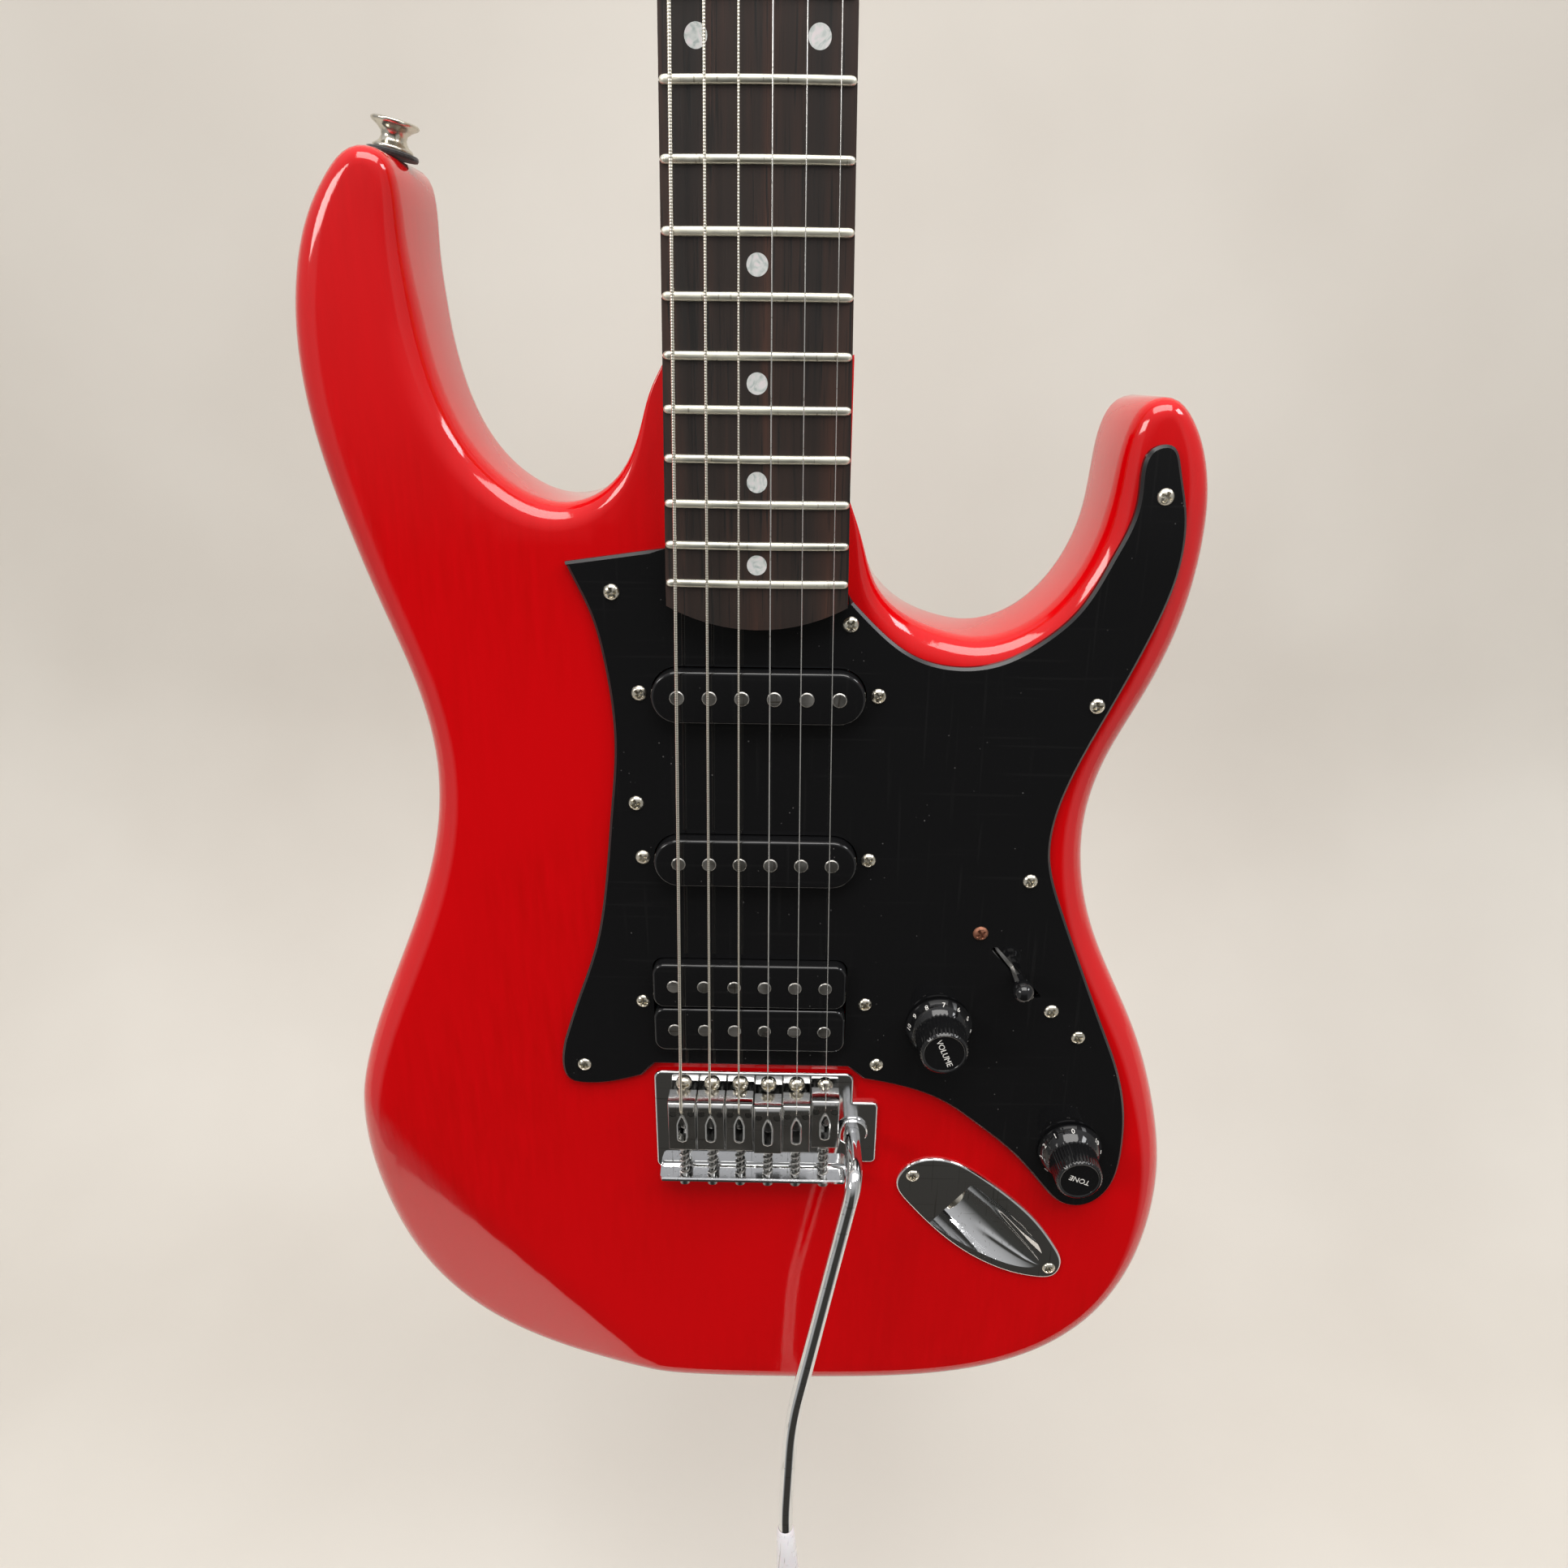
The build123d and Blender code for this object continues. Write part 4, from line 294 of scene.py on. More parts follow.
def cap(outer, holes, height, back=False, net=0.0):
    """The face inside one outline and outside others: triangles between their points and, where the face isn't
    flat, between those of a net as well."""
    loops = [np.asarray(outer, float), *[np.asarray(h, float) for h in holes]]
    points, edges = [], []
    for loop in loops:
        start = sum(len(p) for p in points)
        points.append(loop)
        edges += [(start + i, start + (i + 1) % len(loop)) for i in range(len(loop))]
    if net:
        low, high = loops[0].min(0), loops[0].max(0)
        x, z = np.meshgrid(np.arange(low[0], high[0], net), np.arange(low[1], high[1], net))
        x = x + net / 2 * (np.arange(x.shape[0]) % 2)[:, None]
        extra = np.stack([x.ravel(), z.ravel()], axis=1)
        keep = inside(extra, loops[0])
        for loop in loops[1:]:
            keep &= ~inside(extra, loop)
        ring = np.concatenate(loops)
        extra = extra[keep]
        near = np.min(np.linalg.norm(extra[:, None] - ring[None], axis=2), axis=1) if len(extra) else np.zeros(0)
        points.append(extra[near > net * 0.4])
    flat = np.concatenate(points)
    made, _, faces, *_ = delaunay_2d_cdt([tuple(p) for p in flat.tolist()], edges, [], 0, 1e-5)
    made, faces = np.array([tuple(p) for p in made]), np.array([f for f in faces if len(f) == 3])
    middle = made[faces].mean(axis=1)
    keep = inside(middle, loops[0])
    for loop in loops[1:]:
        keep &= ~inside(middle, loop)
    faces = faces[keep]
    a, b, c = made[faces[:, 0]], made[faces[:, 1]], made[faces[:, 2]]
    clockwise = (b[:, 0] - a[:, 0]) * (c[:, 1] - a[:, 1]) < (b[:, 1] - a[:, 1]) * (c[:, 0] - a[:, 0])
    turned = clockwise != back
    faces[turned] = faces[turned][:, ::-1]
    return place(made[:, 0], level(height, made[:, 0], made[:, 1]), made[:, 1]), faces.tolist()


def wall(loop, low, high, hollow=False):
    """The upright side of an outline between two heights, facing out, or into the hole where hollow."""
    loop = np.asarray(loop, float)
    x, z = loop[:, 0], loop[:, 1]
    heights = np.stack([level(low, x, z), level(high, x, z)])
    return grid(place(np.stack([x, x]), heights, np.stack([z, z])), flip=hollow)


def slab(outline, low, high, low_round, high_round, back_holes=(), front_holes=(), steps=6, net=0.0):
    """A plate inside an outline. Its edge turns a quarter circle into each face, of a radius that may vary along
    it. With two steps the turn is a bevel."""
    loop = np.asarray(outline, float)
    out = outward(loop)
    low_round, high_round = np.broadcast_to(low_round, len(loop)), np.broadcast_to(high_round, len(loop))
    turn = np.linspace(0, np.pi / 2, steps)[:, None]
    inset = np.concatenate([low_round * (1 - np.sin(turn)), high_round * (1 - np.sin(turn[::-1]))])
    lift = np.concatenate([low_round * (1 - np.cos(turn)), -high_round * (1 - np.cos(turn[::-1]))])
    x, z = loop[:, 0] - inset * out[:, 0], loop[:, 1] - inset * out[:, 1]
    base = np.concatenate([level(low, x[:steps], z[:steps]), level(high, x[steps:], z[steps:])])
    return [
        grid(place(x, base + lift, z)),
        cap(np.stack([x[0], z[0]], axis=1), back_holes, low, back=True, net=net),
        cap(np.stack([x[-1], z[-1]], axis=1), front_holes, high, net=net),
    ]


def rounded(points, radii, steps=6):
    """A closed outline, anticlockwise, whose corners are turned on arcs of given radii."""
    p = np.array(points, float)
    before = np.roll(p, 1, axis=0) - p
    after = np.roll(p, -1, axis=0) - p
    before /= np.linalg.norm(before, axis=1, keepdims=True)
    after /= np.linalg.norm(after, axis=1, keepdims=True)
    half = np.arccos(np.clip((before * after).sum(1), -1, 1)) / 2
    reach = (np.broadcast_to(radii, len(p)) / np.tan(half))[:, None]
    t = np.linspace(0, 1, steps)[None, :, None]
    start, end = (p + before * reach)[:, None], (p + after * reach)[:, None]
    corner = p[:, None]
    weight = np.sin(half)[:, None, None]
    mixed = start * (1 - t) ** 2 + corner * 2 * weight * t * (1 - t) + end * t ** 2
    return (mixed / ((1 - t) ** 2 + 2 * weight * t * (1 - t) + t ** 2)).reshape(-1, 2)


def box(x0, x1, z0, z1, radius=0.5, steps=6):
    """A rectangle with rounded corners."""
    return rounded([(x0, z0), (x1, z0), (x1, z1), (x0, z1)], radius, steps)


def circle(x, z, radius, count=32):
    """A circle, anticlockwise."""
    turn = np.arange(count) * 2 * np.pi / count
    return np.stack([x + radius * np.cos(turn), z + radius * np.sin(turn)], axis=1)


def top_height(x, z):
    """The front face: flat, then sloping away past the bevel's line, with a soft crease between."""
    run = np.array(BEVEL_TO) - np.array(BEVEL_FROM)
    run = run / np.linalg.norm(run)
    past = -((x - BEVEL_FROM[0]) * -run[1] + (z - BEVEL_FROM[1]) * run[0])
    return TOP - BEVEL_SLOPE * (np.sqrt(past ** 2 + 25) + past) / 2


def back_height(x, z):
    """The back: flat, with a shallow scoop over the ribs at the upper bass side."""
    past = -62 - x
    share = np.exp(-(((z - 285) / 95.0) ** 4))
    return BACK + 0.176 * share * (np.sqrt(past ** 2 + 60) + past) / 2


def lacquer():
    """Red gloss over wood: the colour is a little deeper along the grain, and the gloss ripples with it."""
    material, tree, shader = finish("red_lacquer", (0.56, 0.0, 0.004), 0.08, ior=1.5,
                                    coat_weight=0.35, coat_roughness=0.04)
    where = node(tree, "TexCoord").outputs["Object"]
    drawn = node(tree, "Mapping", {"Vector": where, "Scale": (1.0, 1.0, 0.13)}).outputs["Vector"]
    fibre = node(tree, "TexNoise", {"Vector": drawn, "Scale": 330.0, "Detail": 4.0, "Roughness": 0.6}).outputs["Fac"]
    sunk = node(tree, "TexNoise", {"Vector": where, "Scale": 9.0, "Detail": 2.0}).outputs["Fac"]
    both = node(tree, "Math", {0: span(tree, fibre, 0.3, 0.7, 0, 1), 1: span(tree, sunk, 0.42, 0.62, 0.1, 1)},
                operation="MULTIPLY").outputs[0]
    shade = ramp(tree, both, [(0.0, (0.62, 0.0, 0.002)), (1.0, (0.55, 0.0, 0.001))])
    ripple = node(tree, "Bump", {"Height": both, "Strength": 0.25, "Distance": 0.00012}).outputs["Normal"]
    tree.links.new(shade, shader.inputs["Base Color"])
    tree.links.new(ripple, shader.inputs["Normal"])
    tree.links.new(span(tree, sunk, 0.3, 0.7, 0.05, 0.11), shader.inputs["Roughness"])
    return material


RED = lacquer()
body_edge = np.concatenate([curve(EDGE[::-1], 620), straight((28, 372), (28, 413.5), 12), [(28, 413.5)],
                            straight((28, 413.5), (-28, 413.5), 14), [(-28, 413.5)]])
body_turn = np.cross(outward(body_edge), np.roll(outward(body_edge), -1, axis=0))
body_step = np.linalg.norm(np.roll(body_edge, -1, axis=0) - body_edge, axis=1)
tightness = np.maximum(body_turn / body_step, 1e-4)
body_rim = np.minimum(RIM, 0.72 / tightness)
aside, below = np.abs(body_edge[:, 0]) - POCKET_HALF, POCKET_FOOT - body_edge[:, 1]
neck_away = np.clip((np.maximum(aside, 0) + np.maximum(below, 0)) / 14, 0.06, 1)
neck_near = (np.abs(body_edge[:, 0]) < 44) & (body_edge[:, 1] > 340)
body_rim = np.where(neck_near, np.minimum(body_rim, RIM * neck_away), body_rim)
spread = np.arange(-8, 9)
body_rim = np.min(np.stack([np.roll(body_rim, k) for k in spread]), axis=0)
body_rim = np.mean(np.stack([np.roll(body_rim, k) for k in spread]), axis=0)

SLOT = box(-35, 33, 129.5, 156.5, 0.8)
SLOT_MOUTH = rounded([(-35, 129.5), (45, 129.5), (45, 150), (33, 150), (33, 156.5), (-35, 156.5)], 0.8)
SPRING_PIT = rounded([(-37, 123), (35, 123), (35, 159), (29, 160), (29, 267.5), (-29, 267.5), (-29, 160),
                      (-37, 159)], 1.5)
CONTROL_PIT = rounded([
    (53, 183), (63, 171.5), (107, 125), (113, 120), (127, 120), (131.5, 142), (112.5, 180), (116, 194.5), (95, 232),
    (76, 236), (58, 214)], 2.5)
JACK_PIT = rounded([(62.5, 106), (69.4, 92.4), (81, 83.2), (92.3, 75.4), (104, 70), (112.5, 68.5), (116.5, 76),
                    (118, 82), (110, 93.3), (100, 103.6), (88, 113.6), (78, 119)], 2)
PICKUP_PITS = [box(-42.6, 43.4, 298.6, 323.6, 5), box(-43.5, 42.5, 240, 265, 5),
               box(-47.5, 42.5, 173.8, 215.8, 4)]
pits = [(CONTROL_PIT, -14.0), (JACK_PIT, 2.0), *[(pit, 2.0) for pit in PICKUP_PITS]]
body_parts = slab(body_edge, back_height, top_height, body_rim, body_rim, [SPRING_PIT],
                  [SLOT_MOUTH, *[pit for pit, _ in pits]], steps=9, net=6.0)
for pit, floor in pits:
    body_parts += [wall(pit, floor, top_height, True), cap(pit, [], floor)]
body_parts += [
    wall(SLOT_MOUTH, 5, top_height, True), cap(SLOT_MOUTH, [SLOT], 5.0), wall(SLOT, -5, 5, True),
    cap(SPRING_PIT, [SLOT], -5.0, back=True), wall(SPRING_PIT, back_height, -5, True),
]
make("body_shell", body_parts, RED, replaces=["body"], sharp=50)

# ------------------------------------------------------------------ neck
# A slim maple neck, squared off at the heel where four screws hold it in its pocket, and rounded
# from there to the nut. The headstock is cut from the same blank and stands back from the board.
NUT_Z = BRIDGE_Z + SCALE
BOARD_TOP, BOARD_LOW = 31.5, 25.5
HEEL_HALF, NUT_HALF = 28.0, 21.2
BOARD_FOOT = 334.0
HEAD_FACE, HEAD_BACK = 22.0, 8.0
FRET_Z = BRIDGE_Z + SCALE * 2.0 ** (-np.arange(22) / 12)


def board_half(z):
    """Half the board's width: a straight taper from the nut to the last fret."""
    share = np.clip((NUT_Z - z) / (NUT_Z - FRET_Z[21]), 0, 1)
    return NUT_HALF + share * (HEEL_HALF - NUT_HALF)


def shared(name, inputs, outputs):
    """An empty node group with number inputs, each with a default, and number outputs."""
    tree = bpy.data.node_groups.new(name, "ShaderNodeTree")
    for label, value in inputs.items():
        tree.interface.new_socket(label, in_out="INPUT", socket_type="NodeSocketFloat").default_value = value
    for label in outputs:
        tree.interface.new_socket(label, in_out="OUTPUT", socket_type="NodeSocketFloat")
    return tree, tree.nodes.new("NodeGroupInput")


def give(tree, **values):
    """Wires values to a node group's outputs."""
    end = tree.nodes.new("NodeGroupOutput")
    for label, value in values.items():
        tree.links.new(value, end.inputs[label])


def grained():
    """Node group: soft streaks drawn out along Z. Grain runs from 0 to 1 across the streaks, Pore marks short dark
    lines, and Cloud is the slow change of tone over the piece."""
    tree, given = shared("grained_wood", {"Scale": 60.0, "Length": 0.06}, ("Grain", "Pore", "Cloud"))
    where = node(tree, "TexCoord").outputs["Object"]
    stretch = node(tree, "CombineXYZ", {"X": 1.0, "Y": 1.0, "Z": given.outputs["Length"]}).outputs[0]
    drawn = node(tree, "VectorMath", {0: where, 1: stretch}, operation="MULTIPLY").outputs[0]
    broad = node(tree, "TexNoise", {"Vector": drawn, "Scale": given.outputs["Scale"], "Detail": 5.0,
                                    "Roughness": 0.62, "Distortion": 0.4}).outputs["Fac"]
    fine = node(tree, "Math", {0: given.outputs["Scale"], 1: 11.0}, operation="MULTIPLY").outputs[0]
    short = node(tree, "TexNoise", {"Vector": drawn, "Scale": fine, "Detail": 2.0}).outputs["Fac"]
    slow = node(tree, "TexNoise", {"Vector": where, "Scale": 14.0, "Detail": 2.0}).outputs["Fac"]
    give(tree, Grain=span(tree, broad, 0.3, 0.7, 0, 1), Pore=span(tree, short, 0.56, 0.68, 0, 1),
         Cloud=span(tree, slow, 0.3, 0.7, 0, 1))
    return tree


GRAINED = grained()


def wood(name, stops, pore, roughness, scale, length, depth):
    """Bare or thinly finished wood: colour by the streaks, darker pores, and pores pressed in."""
    material, tree, shader = finish(name, stops[0][1], roughness, ior=1.48)
    streak = node(tree, "Group", node_tree=GRAINED)
    streak.inputs["Scale"].default_value, streak.inputs["Length"].default_value = scale, length
    tone = ramp(tree, streak.outputs["Grain"], stops)
    dark = node(tree, "Mix", {"Factor": streak.outputs["Pore"], 6: tone, 7: (*pore, 1)},
                data_type="RGBA").outputs[2]
    tree.links.new(dark, shader.inputs["Base Color"])
    tree.links.new(span(tree, streak.outputs["Cloud"], 0, 1, roughness - 0.08, roughness + 0.08),
                   shader.inputs["Roughness"])
    press = node(tree, "Bump", {"Height": streak.outputs["Pore"], "Strength": 0.5, "Distance": depth}, invert=True)
    tree.links.new(press.outputs["Normal"], shader.inputs["Normal"])
    return material


MAPLE = wood("satin_maple", [(0.0, (0.56, 0.34, 0.16)), (0.55, (0.66, 0.43, 0.22)), (1.0, (0.72, 0.50, 0.28))],
             (0.40, 0.22, 0.10), 0.38, 36.0, 0.05, 0.00004)


def ended(rows):
    """Rows of points with each end drawn in to its own middle, which closes the surface."""
    first, last = (np.repeat(row.mean(axis=0, keepdims=True), len(row), axis=0)[None] for row in (rows[0], rows[-1]))
    return np.concatenate([first, rows, last])


def neck_shaft():
    """Rows along Z. Each is a flat top at the board and a round back: width by the taper, depth from heel to nut,
    and a squareness that fades from the heel."""
    z = np.concatenate([np.linspace(BOARD_FOOT + 0.3, 341, 8), [370, 398], np.linspace(402, 430, 12),
                        np.linspace(436, NUT_Z + 3.4, 60), np.linspace(NUT_Z + 5, NUT_Z + 26, 12)])
    half = np.minimum(board_half(z), HEEL_HALF * np.sqrt((z - BOARD_FOOT) / 7.0))
    past = np.clip((z - NUT_Z - 3.4) / 20, 0, 1)
    lid = BOARD_LOW - 3.6 * (3 * past ** 2 - 2 * past ** 3)
    heel = 1 / (1 + np.exp((z - 412) / 3.2))
    slim = np.interp(z, [400, 479.5, NUT_Z], [24.4, 22.5, 21.0])
    depth = 6.1 * heel + (BOARD_TOP - slim) * (1 - heel)
    depth = depth * (1 - past) + (HEAD_BACK + 0.4) * past
    power = 2.15 + 5.5 * heel
    turn = np.linspace(0, np.pi, 41)[None]
    x = half[:, None] * np.sign(np.cos(turn)) * np.abs(np.cos(turn)) ** (2 / power[:, None])
    h = lid[:, None] - (lid - depth)[:, None] * np.sin(turn) ** (2 / power[:, None])
    x = np.concatenate([x, -half[:, None] * 0.5, half[:, None] * 0.5], axis=1)
    h = np.concatenate([h, lid[:, None], lid[:, None]], axis=1)
    return grid(ended(place(x, h, z[:, None]))[:, ::-1])


HEAD_RIGHT = curve([(21.2, 803.5), (21.2, 812), (24.5, 835), (28.5, 875), (34, 920), (37.5, 955), (35, 975), (24, 986),
                    (12, 983), (4.5, 968)], 90)
HEAD_LEFT = curve([(-32.5, 835), (-31, 822), (-23, 813), (-21.2, 803.5)], 24)
head_edge = np.concatenate([HEAD_RIGHT, straight(HEAD_RIGHT[-1], HEAD_LEFT[0], 30), HEAD_LEFT,
                            straight(HEAD_LEFT[-1], HEAD_RIGHT[0], 8)])
make("neck_and_headstock", [neck_shaft(), *slab(head_edge, HEAD_BACK, HEAD_FACE, 2.0, 1.6, steps=5)], MAPLE,
     replaces=["neck", "truss_rod"], sharp=40)

# ------------------------------------------------------------------ fingerboard
# Dark rosewood, radiused along its length, with pearl dots let in and a bone-white nut at its end.
# The frets are nickel wire pressed into saw cuts, crowned, and bevelled at their ends.
BOARD_RADIUS = 305.0
ROSEWOOD = wood("oiled_rosewood", [
    (0.0, (0.008, 0.006, 0.005)), (0.45, (0.020, 0.011, 0.008)), (0.75, (0.040, 0.017, 0.011)),
    (1.0, (0.075, 0.028, 0.016))], (0.006, 0.004, 0.003), 0.5, 95.0, 0.035, 0.00006)


def clothe(material, *names):
    """Gives CAD nodes a material in place of their own."""
    for name in names:
        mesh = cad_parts[name].data
        mesh.materials.clear()
        mesh.materials.append(material)


def pearl():
    """Pearl plastic: clouds of grey, green and pink under a smooth face."""
    material, tree, shader = finish("pearl_dots", (0.55, 0.58, 0.56), 0.22, ior=1.5)
    where = node(tree, "TexCoord").outputs["Object"]
    swirl = node(tree, "TexNoise", {"Vector": where, "Scale": 260.0, "Detail": 2.0, "Distortion": 2.5}).outputs["Fac"]
    tone = ramp(tree, swirl, [(0.3, (0.40, 0.45, 0.44)), (0.5, (0.62, 0.64, 0.62)), (0.7, (0.74, 0.68, 0.69))])
    tree.links.new(tone, shader.inputs["Base Color"])
    return material


def handled():
    """Node group: what hands leave on a hard finish. Smudge is a soft cloud, Scratch is fine drawn lines in two
    directions, and Speck is scattered dust."""
    tree, given = shared("handled_surface", {"Scale": 1.0}, ("Smudge", "Scratch", "Speck"))
    where = node(tree, "TexCoord").outputs["Object"]
    scaled = node(tree, "VectorMath", {0: where, "Scale": given.outputs["Scale"]}, operation="SCALE").outputs[0]
    cloud = node(tree, "TexNoise", {"Vector": scaled, "Scale": 55.0, "Detail": 4.0}).outputs["Fac"]
    lines = []
    for turned, stretch in ((0.6, (1.0, 1.0, 0.03)), (-0.9, (0.025, 1.0, 1.0))):
        drawn = node(tree, "Mapping", {"Vector": scaled, "Rotation": (0.1, turned, 0.2),
                                       "Scale": stretch}).outputs["Vector"]
        noise = node(tree, "TexNoise", {"Vector": drawn, "Scale": 900.0, "Detail": 1.0}).outputs["Fac"]
        lines.append(span(tree, noise, 0.66, 0.74, 0, 1))
    scratch = node(tree, "Math", {0: lines[0], 1: lines[1]}, operation="MAXIMUM").outputs[0]
    dust = node(tree, "TexVoronoi", {"Vector": scaled, "Scale": 420.0}).outputs["Distance"]
    rare = node(tree, "TexNoise", {"Vector": scaled, "Scale": 190.0}).outputs["Fac"]
    speck = node(tree, "Math", {0: span(tree, dust, 0.10, 0.05, 0, 1), 1: span(tree, rare, 0.58, 0.64, 0, 1)},
                 operation="MULTIPLY").outputs[0]
    give(tree, Smudge=span(tree, cloud, 0.35, 0.65, 0, 1), Scratch=scratch, Speck=speck)
    return tree


HANDLED = handled()


def worn(name, clean, marked, roughness, metallic=0.0, smear=0.08, scale=1.0, depth=0.00002, **constants):
    """A hard finish with smudges in its gloss and marks in its colour, where it is scratched or dusty."""
    material, tree, shader = finish(name, clean, roughness, metallic, **constants)
    marks = node(tree, "Group", node_tree=HANDLED)
    marks.inputs["Scale"].default_value = scale
    either = node(tree, "Math", {0: marks.outputs["Scratch"], 1: marks.outputs["Speck"]},
                  operation="MAXIMUM").outputs[0]
    tone = ramp(tree, either, [(0.0, clean), (1.0, marked)])
    tree.links.new(tone, shader.inputs["Base Color"])
    tree.links.new(span(tree, marks.outputs["Smudge"], 0, 1, max(roughness - smear / 2, 0.02), roughness + smear),
                   shader.inputs["Roughness"])
    press = node(tree, "Bump", {"Height": marks.outputs["Scratch"], "Strength": 0.3, "Distance": depth}, invert=True)
    tree.links.new(press.outputs["Normal"], shader.inputs["Normal"])
    return material


NICKEL = worn("warm_nickel", (0.66, 0.62, 0.53), (0.40, 0.36, 0.28), 0.2, 1.0, smear=0.14)
BONE = worn("bone_white", (0.72, 0.69, 0.60), (0.50, 0.46, 0.38), 0.4)


def frets():
    """Each fret is a closed bead across the board: a half round on a flat foot, lying on the board's radius and
    running down to nothing at its ends."""
    z = FRET_Z[1:, None, None]
    half = board_half(z) - 0.2
    across = np.concatenate([[-1], -1 + np.array([0.0, 0.3, 0.8, 1.5]) / 26, np.linspace(-0.9, 0.9, 15),
                             1 - np.array([1.5, 0.8, 0.3, 0.0]) / 26, [1]])[None, :, None]
    end = np.concatenate([[0], [0.35, 0.7, 0.92, 1], np.ones(15), [1, 0.92, 0.7, 0.35], [0]])[None, :, None]
    turn = np.linspace(0, 2 * np.pi, 17)[:-1][None, None]
    x = half * across
    bead = np.where(np.sin(turn) > 0, 1.15 * np.abs(np.sin(turn)) ** 0.8, 0.25 * np.sin(turn))
    h = BOARD_TOP - BOARD_RADIUS + np.sqrt(BOARD_RADIUS ** 2 - x ** 2) + bead * end
    return grid(place(x, h, z + 1.25 * np.cos(turn) * end))


clothe(ROSEWOOD, "fingerboard")
clothe(pearl(), "position_dots")
clothe(BONE, "nut")
FRET_WIRE = worn("fret_nickel", (0.86, 0.84, 0.72), (0.55, 0.52, 0.42), 0.4, 1.0, smear=0.14)
make("fret_wires", [frets()], FRET_WIRE, replaces=["frets"], sharp=60)

# ------------------------------------------------------------------ pickguard
# One sheet of black gloss plastic, 2.5 mm thick, cut round the pickups and the end of the board. Its
# outer edge is bevelled, and the saw-cut bevel is duller and greyer than the face.
GUARD_TOP = 24.5
GUARD_BEVEL = 0.9
GUARD_BASS = [(-60, 353), (-58, 348.5), (-53, 337), (-49.5, 322), (-47.5, 305), (-47.3, 292), (-49.5, 270),
              (-53.3, 238.5), (-58, 215.5), (-65.5, 194), (-71, 177.5)]
GUARD_FOOT = [(-71, 177.5), (-72.5, 165.5), (-70.5, 159.8), (-64.5, 158), (-43, 162)]
GUARD_TREBLE = [
    (40, 162), (56, 158.4), (70, 152.5), (84, 142), (100, 127.5), (113, 111.5), (120, 105), (127.5, 103.8),
    (135, 108.5), (139.2, 117.5), (140.4, 131), (139.3, 147.5), (134.5, 167), (126.5, 186.5), (114.5, 215),
    (105.5, 237), (100.4, 255), (101, 269), (106.5, 288), (116, 310.5), (125, 333), (130.2, 352), (130, 370),
    (126.5, 383), (123, 389.5), (118, 389), (115, 374.5), (109.5, 356.5), (101, 340), (90, 329.5), (77, 322.5),
    (63, 321), (50, 324.5), (39, 332.5), (30, 341.5)]
SELECTOR, SELECTOR_TURN = (92.9, 209.0), math.radians(-48.5)
PICKUPS = ((0.4, 311.1), (-0.5, 252.5))
TWIN = (-2.5, 194.8)
COVER_LONG, COVER_WIDE = 69.0, 17.5


def stadium(x, z, long, wide, turned=0.0, count=14):
    """A slot's outline: two half circles joined by straight sides."""
    turn = np.linspace(-np.pi / 2, np.pi / 2, count)
    half, radius = (long - wide) / 2, wide / 2
    right = np.stack([half + radius * np.cos(turn), radius * np.sin(turn)], axis=1)
    loop = np.concatenate([right, -right])
    c, s = math.cos(turned), math.sin(turned)
    return np.stack([x + loop[:, 0] * c - loop[:, 1] * s, z + loop[:, 0] * s + loop[:, 1] * c], axis=1)


def black_gloss(name, bevel=False):
    """Gloss black plastic with dust, hairlines and a faint smear. Faces that tilt like a saw-cut bevel are greyer."""
    material, tree, shader = finish(name, (0.006, 0.006, 0.0065), 0.06, ior=1.5)
    marks = node(tree, "Group", node_tree=HANDLED)
    marks.inputs["Scale"].default_value = 0.8
    speck = node(tree, "Math", {0: marks.outputs["Speck"], 1: 0.35}, operation="MULTIPLY").outputs[0]
    hair = node(tree, "Math", {0: marks.outputs["Scratch"], 1: 0.008}, operation="MULTIPLY").outputs[0]
    dust = node(tree, "Math", {0: speck, 1: hair}, operation="ADD").outputs[0]
    rough = span(tree, marks.outputs["Smudge"], 0, 1, 0.045, 0.10)
    tone = ramp(tree, dust, [(0.0, (0.006, 0.006, 0.0065)), (1.0, (0.32, 0.31, 0.30))])
    if bevel:
        edge = node(tree, "Attribute", attribute_name="bevel").outputs["Fac"]
        tone = node(tree, "Mix", {"Factor": edge, 6: tone, 7: (0.011, 0.011, 0.012, 1)},
                    data_type="RGBA").outputs[2]
        rough = node(tree, "Mix", {"Factor": edge, 2: rough, 3: 0.3}).outputs[0]
    tree.links.new(tone, shader.inputs["Base Color"])
    tree.links.new(rough, shader.inputs["Roughness"])
    return material


BLACK = black_gloss("black_gloss_plastic")
foot_x = np.linspace(-28.5, 28.5, 25)[::-1]
guard_edge = np.concatenate([
    curve(GUARD_BASS, 120)[:-1], curve(GUARD_FOOT, 30), straight(GUARD_FOOT[-1], (-38, 167.4), 3),
    [(-38, 167.4)], straight((-38, 167.4), (34, 167.2), 20), [(34, 167.2)], straight((34, 167.2), (40, 162), 3),
    curve(GUARD_TREBLE, 420), [(28.5, 344)],
    np.stack([foot_x, BOARD_FOOT - 0.4 + 7 * (foot_x / 28.5) ** 2], axis=1), [(-28.5, 357.5)],
    straight((-28.5, 357.5), GUARD_BASS[0], 5)])
guard_holes = [stadium(x, z, COVER_LONG + 0.9, COVER_WIDE + 0.9) for x, z in PICKUPS]
guard_holes += [box(TWIN[0] - 34.9, TWIN[0] + 34.9, TWIN[1] - 18.3, TWIN[1] + 18.3, 4),
                stadium(*SELECTOR, 27.4, 2.2, SELECTOR_TURN)]
guard_bevel = np.where((np.abs(guard_edge[:, 0]) < 29.5) & (guard_edge[:, 1] > 330), 0.05, GUARD_BEVEL)
guard_parts = slab(guard_edge, TOP + 0.02, GUARD_TOP, 0.0, guard_bevel, guard_holes, guard_holes, steps=2)
